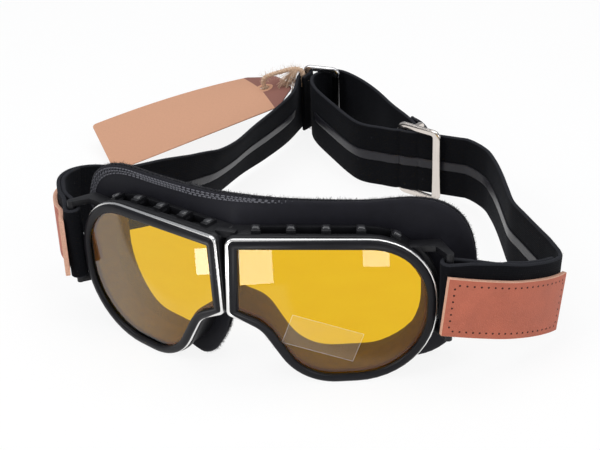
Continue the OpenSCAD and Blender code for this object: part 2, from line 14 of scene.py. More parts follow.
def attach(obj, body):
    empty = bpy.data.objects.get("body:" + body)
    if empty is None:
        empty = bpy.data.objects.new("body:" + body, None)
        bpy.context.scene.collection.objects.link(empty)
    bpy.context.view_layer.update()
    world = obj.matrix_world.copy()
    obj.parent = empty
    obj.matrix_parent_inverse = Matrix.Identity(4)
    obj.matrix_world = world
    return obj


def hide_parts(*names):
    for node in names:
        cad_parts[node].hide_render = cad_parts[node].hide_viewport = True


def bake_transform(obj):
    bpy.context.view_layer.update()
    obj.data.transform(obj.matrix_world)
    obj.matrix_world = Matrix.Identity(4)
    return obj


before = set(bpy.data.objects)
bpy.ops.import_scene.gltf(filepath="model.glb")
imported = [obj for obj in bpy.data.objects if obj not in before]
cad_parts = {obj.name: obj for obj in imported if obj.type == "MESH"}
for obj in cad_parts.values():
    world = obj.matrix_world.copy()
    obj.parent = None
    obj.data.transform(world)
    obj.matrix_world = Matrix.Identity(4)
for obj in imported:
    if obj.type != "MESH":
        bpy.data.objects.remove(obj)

LOG = logging.getLogger("goggles")
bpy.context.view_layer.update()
MM = 0.001
UP = Vector((0.0, 0.0, 1.0))
BACK = Vector((0.0, 1.0, 0.0))
WHITE = (1.0, 1.0, 1.0)
STRAP_W, STRAP_T = 32.0, 1.8
PATCH_L, PATCH_H = 57.0, 24.8
TAG_L, TAG_W, TAG_HOLE = 107.0, 46.0, 12.0
HAIR_ROOT, HAIR_BEND, HAIR_TAPER = 0.15, 0.18, 0.8
BMesh = bmesh.types.BMesh
Point = tuple[float, float]
Place = tuple[float, float, float]
Colour = tuple[float, float, float]
RoutePoint = tuple[float, float, float, float]
Route = list[RoutePoint]
Profile = tuple[Point, ...]


class Side(Enum):
    """The two sides of the goggles, as seen from the front."""

    LEFT = -1
    RIGHT = 1

    @property
    def word(self) -> str:
        """Name of the side in node names."""
        return self.name.lower()


def shade(colour: Colour, level: float) -> Colour:
    """A colour made darker or lighter."""
    return tuple(min(1.0, level * c) for c in colour)


def math_method(operation: str, swap: bool = False) -> Callable[..., "Sock"]:
    """Make a method of Sock that adds one Math node.

    Args:
        operation: The node's operation.
        swap: True where the other term comes first.

    Returns:
        The method, which takes the other term where there is one.
    """
    def method(self: "Sock", *other: "Value") -> "Sock":
        """Add the node and return its output."""
        terms = (*other, self) if swap else (self, *other)
        return self.tree.node("ShaderNodeMath", {"operation": operation}, dict(enumerate(terms)))

    return method


class Sock:
    """A node output that adds Math nodes when Python operators are used on it."""

    def __init__(self, tree: "Tree", socket: bpy.types.NodeSocket) -> None:
        """Keep the socket and the tree that it belongs to."""
        self.tree, self.socket = tree, socket

    __add__ = __radd__ = math_method("ADD")
    __sub__, __rsub__ = math_method("SUBTRACT"), math_method("SUBTRACT", swap=True)
    __mul__ = __rmul__ = math_method("MULTIPLY")
    __truediv__ = math_method("DIVIDE")
    __pow__, __abs__ = math_method("POWER"), math_method("ABSOLUTE")
    __gt__, __lt__ = math_method("GREATER_THAN"), math_method("LESS_THAN")
    sin, fract = math_method("SINE"), math_method("FRACT")
    most, least = math_method("MAXIMUM"), math_method("MINIMUM")

    def clamped(self) -> "Sock":
        """The value, kept from 0 to 1."""
        return self.most(0.0).least(1.0)

    def wave(self, period: float) -> "Sock":
        """A sine along the value."""
        return (self * (2 * math.pi / period)).sin()

    def other(self, output: Union[int, str]) -> "Sock":
        """Another output of the same node."""
        return Sock(self.tree, self.socket.node.outputs[output])


Value = Union[Sock, float]


class Tree:
    """The node tree of a material or of the world."""

    def __init__(self, owner: Union[bpy.types.Material, bpy.types.World]) -> None:
        """Empty the owner's tree.

        Args:
            owner: The material or the world.
        """
        owner.use_nodes = True
        self.nodes, self.links = owner.node_tree.nodes, owner.node_tree.links
        self.nodes.clear()

    def node(self, kind: str, settings: Optional[dict[str, Any]] = None,
             inputs: Optional[dict[Any, Any]] = None, out: Union[int, str, None] = 0) -> Optional[Sock]:
        """Add a node.

        Args:
            kind: Type of the node.
            settings: Its properties.
            inputs: Values or links for its sockets.
            out: The output that is returned, or None for a node that has no output.

        Returns:
            The chosen output.
        """
        made = self.nodes.new(kind)
        for key, value in (settings or {}).items():
            setattr(made, key, value)
        for key, value in (inputs or {}).items():
            if isinstance(value, Sock):
                self.links.new(value.socket, made.inputs[key])
            elif isinstance(value, tuple) and len(value) == 3 and len(made.inputs[key].default_value) == 4:
                made.inputs[key].default_value = (*value, 1.0)
            else:
                made.inputs[key].default_value = value
        return None if out is None else Sock(self, made.outputs[out])

    def place(self, output: str = "Object", stretch: Place = (1, 1, 1)) -> Sock:
        """Coordinates on the piece, stretched along its axes."""
        raw = self.node("ShaderNodeTexCoord", out=output)
        return self.node("ShaderNodeMapping", inputs={"Vector": raw, "Scale": stretch})

    def split(self, output: str, second: int) -> tuple[Sock, Sock]:
        """The first and one other coordinate on the piece, in millimetres."""
        first = self.node("ShaderNodeSeparateXYZ", inputs={0: self.place(output, (1 / MM, 1 / MM, 1 / MM))})
        return first, first.other(second)

    def uv(self) -> tuple[Sock, Sock]:
        """Along and across, in millimetres, from the piece's own map."""
        return self.split("UV", 1)

    def spot(self) -> tuple[Sock, Sock]:
        """Place to the side and up on the piece, in millimetres."""
        return self.split("Object", 2)

    def noise(self, scale: float, detail: float = 3.0, vector: Optional[Sock] = None) -> Sock:
        """Noise from 0 to 1, with about scale lumps to the metre."""
        return self.node("ShaderNodeTexNoise", {}, {
            "Vector": vector or self.place(), "Scale": scale, "Detail": detail, "Roughness": 0.55})

    def cells(self, scale: float) -> Sock:
        """Distance to the edge of a cell pattern."""
        return self.node("ShaderNodeTexVoronoi", {"feature": "DISTANCE_TO_EDGE"},
                         {"Vector": self.place(), "Scale": scale})

    def mix(self, first: Any, second: Any, share: Value) -> Sock:
        """Mix two colours."""
        return self.node("ShaderNodeMix", {"data_type": "RGBA"}, {0: share, 6: first, 7: second}, out=2)

    def tones(self, colour: Colour, low: float, high: float, share: Value) -> Sock:
        """Mix two tones of one colour."""
        return self.mix(shade(colour, low), shade(colour, high), share)

    def bump(self, height: Sock, depth: float) -> Sock:
        """A normal from a height, whose full range is depth metres."""
        return self.node("ShaderNodeBump", {}, {"Height": height, "Distance": depth, "Strength": 1.0})

    def finish(self, **sockets: Any) -> None:
        """Close the tree with a Principled shader; names use _ for spaces."""
        named = {key.replace("_", " "): value for key, value in sockets.items()}
        self.close(self.node("ShaderNodeBsdfPrincipled", {}, named))

    def close(self, shader: Sock, kind: str = "ShaderNodeOutputMaterial") -> None:
        """Link a shader to the tree's output."""
        self.node(kind, inputs={"Surface": shader}, out=None)


@dataclass(frozen=True)
class Finish:
    """A finish of the goggles, with the record's slot that it belongs to."""

    name: str
    slot: str

    def paint(self, tree: Tree) -> None:
        """Fill the material's node tree."""
        raise NotImplementedError

    def material(self) -> bpy.types.Material:
        """The finish's material, made once.

        Returns:
            The material.
        """
        made = bpy.data.materials.get(self.name)
        if made is None:
            made = bpy.data.materials.new(self.name)
            self.paint(Tree(made))
        return made


@dataclass(frozen=True)
class Moulded(Finish):
    """Moulded plastic or rubber: mottled, with a fine grain."""

    colour: Colour = (0.05, 0.05, 0.05)
    gloss: float = 0.4
    grain: float = 2200.0
    depth: float = 0.00004
    shine: float = 0.5

    def paint(self, tree: Tree) -> None:
        """Vary colour and roughness a little, and add the grain.

        Args:
            tree: The material's node tree.
        """
        cloud = tree.noise(140.0, 4.0)
        grain = tree.noise(self.grain, 2.0)
        tree.finish(Base_Color=tree.tones(self.colour, 0.72, 1.35, cloud),
                    Roughness=self.gloss - 0.08 + 0.16 * cloud, Specular_IOR_Level=self.shine,
                    Normal=tree.bump(grain, self.depth))


@dataclass(frozen=True)
class Plated(Finish):
    """Polished plating with hairline scratches."""

    colour: Colour = (0.86, 0.86, 0.85)
    gloss: float = 0.07
    # Level of painted shade between the two heights below, which on the ring are its upright bars; one leaves
    # them unshaded.
    bar_shade: float = 1.0
    bar_shade_span: Point = (4.2, 33.5)
    depth: float = 0.000004

    def paint(self, tree: Tree) -> None:
        """Scratches raise the roughness and dull the colour; between two heights the colour may carry painted
        shade.

        Args:
            tree: The material's node tree.
        """
        hair = tree.noise(900.0, 2.0, tree.place(stretch=(1.0, 1.0, 0.08)))
        haze = tree.noise(70.0, 3.0)
        mark_share = (hair * haze * 2.2).least(1.0)
        colour = tree.tones(self.colour, 1.0, 0.86, mark_share)
        # Painted shade on the ring's upright bars, where the strap's loops shade them.
        if self.bar_shade < 1.0:
            height, (low, high) = tree.spot()[1], self.bar_shade_span
            colour = tree.mix(colour, shade(self.colour, self.bar_shade), (height > low) * (height < high))
        tree.finish(Base_Color=colour, Metallic=1.0,
                    Roughness=self.gloss + 0.10 * mark_share, Normal=tree.bump(hair, self.depth))


@dataclass(frozen=True)
class Tinted(Finish):
    """Clear tinted lens with faint wipe marks."""

    colour: Colour = (0.80, 0.46, 0.001)
    pale: Colour = (0.83, 0.51, 0.003)
    bend: float = 1.35
    clear_right: tuple[float, float, float, float] = (52.0, 45.0, 28.0, 33.0)
    clear_left: tuple[float, float, float, float] = (-28.0, 60.0, 24.0, 30.0)
    clear_brow: float = 46.0
    clear_fade: float = 0.25
    brow_fade: float = 8.0
    # Where the left lens's lower and temple edge is painted dark as shade.
    edge_centre: Point = (-46.7, 31.0)
    edge_stretch: float = 1.0763
    edge_r: float = 26.6
    painted_edge_shade: Colour = (0.004, 0.003, 0.003)
    veil_right: float = 0.48
    veil_nose: float = 0.12
    veil_temple: float = 0.9
    veil_reach: Point = (-24.0, -56.0)

    def veil(self, tree: Tree) -> Sock:
        """Weight of the shiny coat, which thins out over the clear part of each lens.

        Args:
            tree: The material's node tree.

        Returns:
            The weight.
        """
        x, z = tree.spot()
        is_left = x < 0.0
        spread = 1.0 + (self.clear_brow - z) * (1 / self.brow_fade) + 10.0 * is_left
        for cx, cz, rx, rz in (self.clear_right, self.clear_left):
            u, v = (x - cx) * (1 / rx), (z - cz) * (1 / rz)
            spread = spread.least(u * u + v * v)
        share = ((spread - 1.0) * (1 / self.clear_fade)).clamped()
        near, far = self.veil_reach
        temple = ((x - near) * (1 / (far - near))).clamped()
        left = self.veil_nose - self.veil_right + (self.veil_temple - self.veil_nose) * temple
        return share * (self.veil_right + left * is_left)

    def border(self, tree: Tree) -> Sock:
        """One on the edge of the left lens, below and at the temple, where shade is painted.

        Args:
            tree: The material's node tree.

        Returns:
            One on the edge and zero elsewhere.
        """
        x, z = tree.spot()
        cx, cz = self.edge_centre
        u, v = ((cx - x) * self.edge_stretch).most(0.0), (cz - z).most(0.0)
        return ((u * u + v * v) > self.edge_r ** 2) * (x < 0.0)

    def paint(self, tree: Tree) -> None:
        """A clear shader whose tint and roughness follow the wipe marks, with painted shade on the left
        lens's edge.

        Args:
            tree: The material's node tree.
        """
        wipe = tree.noise(60.0, 4.0, tree.place(stretch=(1.0, 1.0, 3.0)))
        # The tint turns near black on the left lens's edge: painted shade.
        tint = tree.mix(tree.mix(self.colour, self.pale, wipe), self.painted_edge_shade, self.border(tree))
        tree.finish(Base_Color=tint, Transmission_Weight=1.0, IOR=self.bend, Roughness=0.012 * wipe,
                    Coat_Weight=self.veil(tree), Coat_Roughness=0.03)


@dataclass(frozen=True)
class Film(Finish):
    """A bare clear film stuck on the lens, seen by its edge and its haze."""

    colour: Colour = (0.9, 0.85, 0.72)
    cut: Point = (0.012, 0.03)

    def paint(self, tree: Tree) -> None:
        """Nearly clear, with a paler line along the cut edge.

        Args:
            tree: The material's node tree.
        """
        along, across = tree.uv()
        rim = (abs(along) > 1.0 - self.cut[0]).most(abs(across) > 1.0 - self.cut[1])
        haze = tree.noise(500.0)
        tree.finish(Base_Color=self.colour, Roughness=0.2 + 0.15 * haze, Alpha=0.05 + 0.03 * haze + 0.3 * rim)


@dataclass(frozen=True)
class Cloth(Finish):
    """Woven or knitted black cloth with a soft sheen."""

    colour: Colour = (0.012, 0.012, 0.015)
    thread: float = 0.5
    sheen: float = 0.25
    rough: float = 0.8
    depth: float = 0.00008
    shine: float = 0.2

    def paint(self, tree: Tree) -> None:
        """A fine knit with a slight unevenness of colour.

        Args:
            tree: The material's node tree.
        """
        knit = tree.cells(1000.0 / self.thread)
        lint = tree.noise(260.0, 5.0)
        tree.finish(Base_Color=tree.tones(self.colour, 0.7, 1.5, lint),
                    Roughness=self.rough - 0.1 + 0.2 * lint,
                    Sheen_Weight=self.sheen, Sheen_Roughness=0.45, Sheen_Tint=(0.75, 0.78, 0.9, 1.0),
                    Specular_IOR_Level=self.shine, Normal=tree.bump(knit + 0.5 * lint, self.depth))


@dataclass(frozen=True)
class Plush(Finish):
    """Black plush at the border, and a grey-brown lining on the side of the eyes."""

    colour: Colour = (0.010, 0.010, 0.013)
    lining: Colour = (0.215, 0.16, 0.15)
    inner: Point = (2.2, 12.2)
    depth: float = 0.0006

    def paint(self, tree: Tree) -> None:
        """Two tones by the cushion's own map, with a deep nap.

        Args:
            tree: The material's node tree.
        """
        across = tree.uv()[1]
        lint = tree.noise(300.0, 5.0)
        tuft = tree.noise(1400.0)
        eye_side = (across > self.inner[0]) * (across < self.inner[1])
        black = tree.tones(self.colour, 0.6, 1.8, lint)
        grey = tree.tones(self.lining, 0.75, 1.0, lint)
        tree.finish(Base_Color=tree.mix(black, grey, eye_side), Roughness=0.85 + 0.15 * lint,
                    Sheen_Weight=0.12, Sheen_Roughness=0.5, Specular_IOR_Level=0.15,
                    Normal=tree.bump(tuft + 0.5 * lint, self.depth))


@dataclass(frozen=True)
class Elastic(Finish):
    """Velvety elastic: fine ribs along it and a short nap."""

    colour: Colour = (0.0032, 0.0034, 0.0045)
    rib: float = 0.9
    cross: float = 1.3
    width: float = STRAP_W
    # Width of the painted highlight along each edge.
    border: float = 0.7
    # Colour of the lint specks and of the painted edge highlight.
    lint: Colour = (0.035, 0.036, 0.042)
    depth: float = 0.00012

    def paint(self, tree: Tree) -> None:
        """Ribs follow the strap's own map, with lint on top and a painted highlight along both edges.

        Args:
            tree: The material's node tree.
        """
        along, across = tree.uv()
        ribs = across.wave(self.rib) * 0.5 + 0.5
        weft = along.wave(self.cross) * 0.5 + 0.5
        nap = tree.noise(1500.0, 4.0)
        lint = tree.noise(420.0, 2.0) > 0.72
        base = tree.tones(self.colour, 0.6, 1.8, nap * 0.7 + ribs * 0.3)
        # A lighter band along each edge is a painted highlight, mixed with the lint specks.
        border = abs(across - self.width / 2) > self.width / 2 - self.border
        mark_share = (lint * 0.3).most(border * (0.35 + 0.4 * nap))
        tree.finish(Base_Color=tree.mix(base, self.lint, mark_share), Roughness=0.78 + 0.2 * nap,
                    Sheen_Weight=0.03, Sheen_Roughness=0.4, Sheen_Tint=(0.7, 0.75, 0.9, 1.0),
                    Specular_IOR_Level=0.08,
                    Normal=tree.bump(ribs * 0.5 + weft * 0.25 + nap * 0.7, self.depth))


@dataclass(frozen=True)
class Leather(Finish):
    """Smooth reddish tan leather with a punched line near its border."""

    colour: Colour = (0.475, 0.13, 0.076)
    length: float = PATCH_L
    height: float = PATCH_H
    inset: float = 2.5
    pitch: float = 2.75
    hole: float = 0.42
    overrun: float = 0.6
    hole_colour: Colour = (0.05, 0.012, 0.008)
    depth: float = 0.00016

    def holes(self, along: Sock, across: Sock) -> Sock:
        """Where the holes of the punched line are.

        Args:
            along: Distance along the patch.
            across: Distance up the patch.

        Returns:
            One inside a hole and zero outside it.
        """
        lines = []
        for on, length, off, height in ((along, self.length, across, self.height),
                                        (across, self.height, along, self.length)):
            gap = abs((on / self.pitch).fract() - 0.5) * self.pitch
            to_line = abs(abs(off - height / 2) - (height / 2 - self.inset))
            inside = abs(on - length / 2) < length / 2 - self.inset + self.overrun
            lines.append((gap ** 2 + to_line ** 2 < self.hole ** 2) * inside)
        return lines[0].most(lines[1])

    def paint(self, tree: Tree) -> None:
        """Grain in two tones, darker in its creases, and the punched holes.

        Args:
            tree: The material's node tree.
        """
        along, across = tree.uv()
        tone = tree.noise(90.0, 5.0)
        grain = tree.cells(1300.0)
        pores = tree.noise(2600.0, 2.0)
        hole = self.holes(along, across)
        crease = (0.10 - grain).most(0.0) * 4.0
        hide = tree.mix(tree.tones(self.colour, 0.74, 1.22, tone), shade(self.colour, 0.74), crease)
        tree.finish(Base_Color=tree.mix(hide, self.hole_colour, hole),
                    Roughness=0.5 + 0.18 * tone + 0.2 * hole, Specular_IOR_Level=0.3,
                    Normal=tree.bump(grain * 0.5 + pores * 0.3 - hole * 3.0, self.depth))


@dataclass(frozen=True)
class RawEdge(Finish):
    """The pale cut edge and flesh side of the leather."""

    colour: Colour = (0.78, 0.44, 0.31)
    depth: float = 0.0003

    def paint(self, tree: Tree) -> None:
        """Fibres in two tones.

        Args:
            tree: The material's node tree.
        """
        fibre = tree.noise(1800.0, 5.0)
        tree.finish(Base_Color=tree.tones(self.colour, 0.62, 1.0, fibre * 1.4), Roughness=0.9,
                    Normal=tree.bump(fibre, self.depth))


@dataclass(frozen=True)
class Silicone(Finish):
    """Glossy dark silicone printed on the elastic."""

    colour: Colour = (0.012, 0.0117, 0.016)
    weave: float = 0.8
    depth: float = 0.00005

    def paint(self, tree: Tree) -> None:
        """Glossy, with the weave of the strap showing through.

        Args:
            tree: The material's node tree.
        """
        along, across = tree.uv()
        wave = along.wave(self.weave) * across.wave(self.weave) * 0.5 + 0.5
        lump = tree.noise(600.0)
        tree.finish(Base_Color=tree.tones(self.colour, 0.7, 1.5, lump), Roughness=0.26 + 0.14 * lump,
                    Specular_IOR_Level=0.32, Normal=tree.bump(wave * 0.5 + lump, self.depth))


@dataclass(frozen=True)
class Kraft(Finish):
    """Kraft card with a mauve-brown end."""

    colour: Colour = (0.588, 0.318, 0.203)
    band: Colour = (0.215, 0.095, 0.075)
    band_from: float = 92.5
    hole: Point = (TAG_L - TAG_HOLE, TAG_W / 2)
    washer: float = 4.6
    depth: float = 0.00006

    def paint(self, tree: Tree) -> None:
        """Short fibres in two tones, and the coloured end by the card's own map.

        Args:
            tree: The material's node tree.
        """
        along, across = tree.uv()
        fibre = tree.noise(700.0, 4.0, tree.place("UV", (1.0, 5.0, 1.0)))
        fleck = tree.noise(1900.0, 2.0) > 0.68
        ring = ((along - self.hole[0]) ** 2 + (across - self.hole[1]) ** 2) < self.washer ** 2
        end = (along > self.band_from) * (1.0 - ring)
        base = tree.tones(self.colour, 0.86, 1.1, fibre)
        flecked = tree.mix(base, shade(self.colour, 0.6), fleck * 0.35)
        inked = tree.tones(self.band, 1.0, 1.35, fibre)
        tree.finish(Base_Color=tree.mix(flecked, inked, end), Roughness=0.72 + 0.16 * fibre - 0.1 * end,
                    Specular_IOR_Level=0.25, Normal=tree.bump(fibre + 2.0 * ring, self.depth))


@dataclass(frozen=True)
class Fibre(Finish):
    """Thread or twine with strands along it."""

    colour: Colour = (0.55, 0.38, 0.22)
    sheen: float = 0.1
    depth: float = 0.0001

    def paint(self, tree: Tree) -> None:
        """Uneven strands.

        Args:
            tree: The material's node tree.
        """
        strand = tree.noise(2400.0, 4.0)
        tree.finish(Base_Color=tree.tones(self.colour, 0.55, 1.25, strand), Roughness=0.8,
                    Sheen_Weight=self.sheen, Normal=tree.bump(strand, self.depth))


@dataclass(frozen=True)
class PaleFloor(Finish):
    """A plain pale floor that the camera, metal and glass see as white, with a soft shadow."""

    colour: Colour = (0.9, 0.9, 0.9)
    keep_shadow: float = 0.12

    def paint(self, tree: Tree) -> None:
        """Plain paint for the light, and mostly white for what looks at it.

        Args:
            tree: The material's node tree.
        """
        path = tree.node("ShaderNodeLightPath")
        seen = path.most(path.other("Is Glossy Ray")).most(path.other("Is Transmission Ray"))
        paint = tree.node("ShaderNodeBsdfDiffuse", {}, {"Color": self.colour})
        white = tree.node("ShaderNodeEmission", {}, {"Color": WHITE, "Strength": 1.0})
        tree.close(tree.node("ShaderNodeMixShader", {},
                             {0: seen * (1.0 - self.keep_shadow), 1: paint, 2: white}))


BEZEL = Moulded("bezel_satin", "bezel_plastic", (0.0085, 0.0083, 0.0103), 0.32, 2600.0, 0.00003, 0.15)
RUBBER = Moulded("rubber_black", "black_rubber", (0.006, 0.006, 0.0075), 0.44, 1800.0, 0.00005, 0.3)
SEAL = Moulded("seal_brown", "black_rubber", (0.195, 0.145, 0.135), 0.85, 1500.0, 0.00006, 0.1)
# The studs are the body's rubber painted lighter as a highlight; their extra gloss is real.
STUD_PAINTED_HIGHLIGHT = Moulded("stud_rubber_painted_highlight", "black_rubber", (0.02, 0.02, 0.023), 0.3, 1800.0, 0.00004, 0.8)
FOAM = Cloth("vent_foam", "black_rubber", (0.008, 0.008, 0.009), 0.9, 0.05, 0.95, 0.0004, 0.1)
LINING = Cloth("eye_lining", "plush_lining", (0.2, 0.15, 0.14), 0.9, 0.05, 0.95, 0.0002, 0.1)
CHROME = Plated("rim_bright", "rim_chrome", (0.9, 0.89, 0.88), 0.13)
BUCKLE = Plated("buckle_pale", "buckle_metal", (0.77, 0.705, 0.65), 0.11)
# The ring's upright bars carry painted shade at 0.16 of the steel's colour.
STEEL = Plated("ring_steel", "buckle_metal", (0.74, 0.73, 0.74), 0.12, 0.16)
LENS = Tinted("lens_amber", "yellow_lens")
FILM = Film("lens_film", "yellow_lens")
PANEL = Cloth("pad_smooth", "pad_cloth", (0.0092, 0.009, 0.0128), 0.45, 0.015, 0.6, 0.00006, 0.16)
PLUSH = Plush("pad_plush", "plush_lining")
NAP = Cloth("pad_nap", "plush_lining", (0.012, 0.012, 0.015), 0.7, 0.05, 0.95, 0.0001, 0.1)
STITCH = Fibre("stitch_grey", "pad_cloth", (0.13, 0.13, 0.15))
ELASTIC = Elastic("strap_velvet", "strap_elastic")
GRIP = Silicone("grip_grey", "grey_silicone")
TAN = Leather("patch_tan", "tan_leather")
RAW = RawEdge("patch_raw", "tan_leather")
KRAFT = Kraft("card_kraft", "kraft_card")
JUTE = Fibre("twine_jute", "jute", (0.68, 0.48, 0.335))
FLOOR = PaleFloor("floor_pale", "")


def add_object(name: str, data: Any) -> bpy.types.Object:
    """Put a new object in the scene.

    Args:
        name: Name of the object.
        data: Its mesh, lamp or camera.

    Returns:
        The object.
    """
    made = bpy.data.objects.new(name, data)
    bpy.context.scene.collection.objects.link(made)
    return made


def add_piece(name: str, bm: BMesh, finishes: Sequence[Finish], replaces: Sequence[str] = (),
              crease: float = 45.0, body: str = "goggles") -> bpy.types.Object:
    """Turn a bmesh into a piece that rides on a body.

    Args:
        name: Name of the piece.
        bm: Its shape, which is freed.
        finishes: Its materials in order.
        replaces: CAD nodes that it stands for.
        crease: Angle in degrees above which an edge stays sharp.
        body: The body that it rides on, or nothing for a piece that rides on none.

    Returns:
        The new object.
    """
    mesh = bpy.data.meshes.new(name)
    bm.to_mesh(mesh)
    bm.free()
    for finish in finishes:
        mesh.materials.append(finish.material())
    mesh.shade_smooth()
    mesh.set_sharp_from_angle(angle=math.radians(crease))
    piece = add_object(name, mesh)
    if body:
        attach(piece, body)
    if replaces:
        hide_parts(*replaces)
    LOG.info("%s: %d faces on %s", name, len(mesh.polygons), body)
    return piece


def dress_node(name: str, finish: Finish) -> None:
    """Give a CAD node that stays in view its finish.

    Args:
        name: Name of the node.
        finish: Its finish.
    """
    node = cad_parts[name]
    if not node.material_slots:
        node.data.materials.append(finish.material())
    for slot in node.material_slots:
        slot.material = finish.material()
    LOG.info("%s: dressed", name)


def outward(bm: BMesh) -> BMesh:
    """The same shape with all its faces turned outwards."""
    bmesh.ops.recalc_face_normals(bm, faces=bm.faces)
    return bm


def map_loops(bm: BMesh, spot: Callable[[bmesh.types.BMVert], Sequence[float]]) -> None:
    """Give a shape its map, from two measures in millimetres at each corner.

    Args:
        bm: The shape.
        spot: Gives the two measures at a vertex.
    """
    layer = bm.loops.layers.uv.new("UVMap")
    for loop in (loop for face in bm.faces for loop in face.loops):
        u, v = spot(loop.vert)
        loop[layer].uv = (u * MM, v * MM)


def bevel(bm: BMesh, edges: Sequence[bmesh.types.BMEdge], radius: float, segments: int) -> None:
    """Round some edges of a shape."""
    bmesh.ops.bevel(bm, geom=edges, offset=radius, offset_type="OFFSET", segments=segments,
                    profile=0.5, affect="EDGES", clamp_overlap=True, material=-1)


def around(count: int) -> list[float]:
    """Angles of evenly spaced points round a circle."""
    return [2 * math.pi * k / count for k in range(count)]


def heading(path: Sequence[Vector], i: int) -> Vector:
    """The way along a path at one of its points."""
    return (path[min(i + 1, len(path) - 1)] - path[max(i - 1, 0)]).normalized()


def pulled(a: Vector, pull: Vector, b: Vector, t: float) -> Vector:
    """A point of the curve from a to b that a third point pulls."""
    return a * (1 - t) ** 2 + pull * (2 * t * (1 - t)) + b * t * t


def spline(a: Any, b: Any, c: Any, d: Any, t: float) -> Any:
    """A point of the smooth curve from b to c, with a before and d after them."""
    return (2 * b + (c - a) * t + (2 * a - 5 * b + 4 * c - d) * t * t + (3 * b - a - 3 * c + d) * t ** 3) / 2


def eased(loop: Sequence[Vector]) -> list[Vector]:
    """The points of a closed loop, each drawn towards its neighbours."""
    return [(loop[i - 1] + p * 2 + loop[(i + 1) % len(loop)]) / 4 for i, p in enumerate(loop)]


def skin(sections: Sequence[Sequence[Vector]], ring: bool = False,
         along: Optional[Sequence[float]] = None, across: Optional[Sequence[float]] = None) -> BMesh:
    """Extrude a closed loop of points through a list of sections.

    Args:
        sections: Loops of equal length, in metres.
        ring: True where the last section meets the first.
        along: Map coordinate of each section, in millimetres.
        across: Map coordinate of each point of a section, in millimetres.

    Returns:
        The closed shape.
    """
    bm = bmesh.new()
    row = [bm.verts.new(p) for p in sections[0]]
    edges = [bm.edges.new((row[k - 1], row[k])) for k in range(len(row))]
    mark = {v: (0, k) for k, v in enumerate(row)}
    rows = list(sections[1:]) + ([sections[0]] if ring else [])
    for i, points in enumerate(rows, 1):
        grown = bmesh.ops.extrude_edge_only(bm, edges=edges)["geom"]
        fresh = {v for v in grown if isinstance(v, bmesh.types.BMVert)}
        row = [next(e.other_vert(v) for e in v.link_edges if e.other_vert(v) in fresh) for v in row]
        edges = [e for e in grown if isinstance(e, bmesh.types.BMEdge) and all(v in fresh for v in e.verts)]
        for k, (v, p) in enumerate(zip(row, points)):
            v.co = p
            mark[v] = (i, k)
    if not ring:
        bmesh.ops.holes_fill(bm, edges=[e for e in bm.edges if e.is_boundary])
    if along is not None and across is not None:
        map_loops(bm, lambda v: (along[mark[v][0]], across[mark[v][1]]))
    if ring:
        bmesh.ops.remove_doubles(bm, verts=bm.verts, dist=1e-7)
    return outward(bm)


def tube(path: Sequence[Vector], radius: float, sides: int) -> list[list[Vector]]:
    """Round sections along a path.

    Args:
        path: Middle of the tube.
        radius: Its radius.
        sides: Number of points of a section.

    Returns:
        A section for each point of the path.
    """
    sections = []
    side = None
    for i, here in enumerate(path):
        run = heading(path, i)
        side = (side - run * side.dot(run)) if side is not None else run.orthogonal()
        side.normalize()
        up = run.cross(side)
        sections.append([here + (side * math.cos(a) + up * math.sin(a)) * radius for a in around(sides)])
    return sections


def merge(parts: Iterable[BMesh]) -> BMesh:
    """Join several shapes into one.

    Args:
        parts: The shapes, which are freed.

    Returns:
        The joined shape.
    """
    whole = bmesh.new()
    for part in parts:
        mesh = bpy.data.meshes.new("part")
        part.to_mesh(mesh)
        part.free()
        whole.from_mesh(mesh)
        bpy.data.meshes.remove(mesh)
    return whole


def softened(node: str, radius: float, segments: int, angle: float = 28.0) -> BMesh:
    """A copy of a CAD node with its sharp edges rounded.

    Args:
        node: Name of the node.
        radius: Rounding in metres.
        segments: Steps of the rounding.
        angle: Least angle in degrees of an edge that is rounded.

    Returns:
        The rounded shape.
    """
    bm = bmesh.new()
    bm.from_mesh(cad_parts[node].data)
    bmesh.ops.remove_doubles(bm, verts=bm.verts, dist=1e-6)
    bmesh.ops.dissolve_limit(bm, angle_limit=math.radians(1.0), verts=bm.verts, edges=bm.edges)
    sharp = [e for e in bm.edges if e.is_manifold and e.calc_face_angle(0.0) > math.radians(angle)]
    bevel(bm, sharp, radius, segments)
    return outward(bm)


def scatter(dice: random.Random) -> Vector:
    """A random way and length."""
    return Vector((dice.gauss(0, 1), dice.gauss(0, 1), dice.gauss(0, 1)))


def hairs(roots: Iterable[tuple[Vector, Vector]], length: Point, width: float, seed: int,
          spread: float) -> BMesh:
    """Short fibres, each a bent sliver of two faces.

    Args:
        roots: Places in metres and directions of the fibres.
        length: Least and greatest length in millimetres.
        width: Width of a fibre at its root in millimetres.
        seed: Seed of the spread.
        spread: How far a fibre strays from its direction.

    Returns:
        The fibres in one shape.
    """
    dice = random.Random(seed)
    bm = bmesh.new()
    for root, way in roots:
        run = (way + scatter(dice) * spread).normalized()
        reach = dice.uniform(*length) * MM
        side = run.orthogonal().normalized() * width * MM
        side.rotate(Matrix.Rotation(dice.uniform(0, math.pi), 3, run))
        foot = root - run * reach * HAIR_ROOT
        middle = root + run * reach * 0.5 + scatter(dice) * reach * HAIR_BEND
        slim = side * HAIR_TAPER
        spots = (foot - side / 2, foot + side / 2, middle + slim / 2, middle - slim / 2, root + run * reach)
        a, b, c, d, tip = (bm.verts.new(p) for p in spots)
        bm.faces.new((a, b, c, d))
        bm.faces.new((d, c, tip))
    return bm


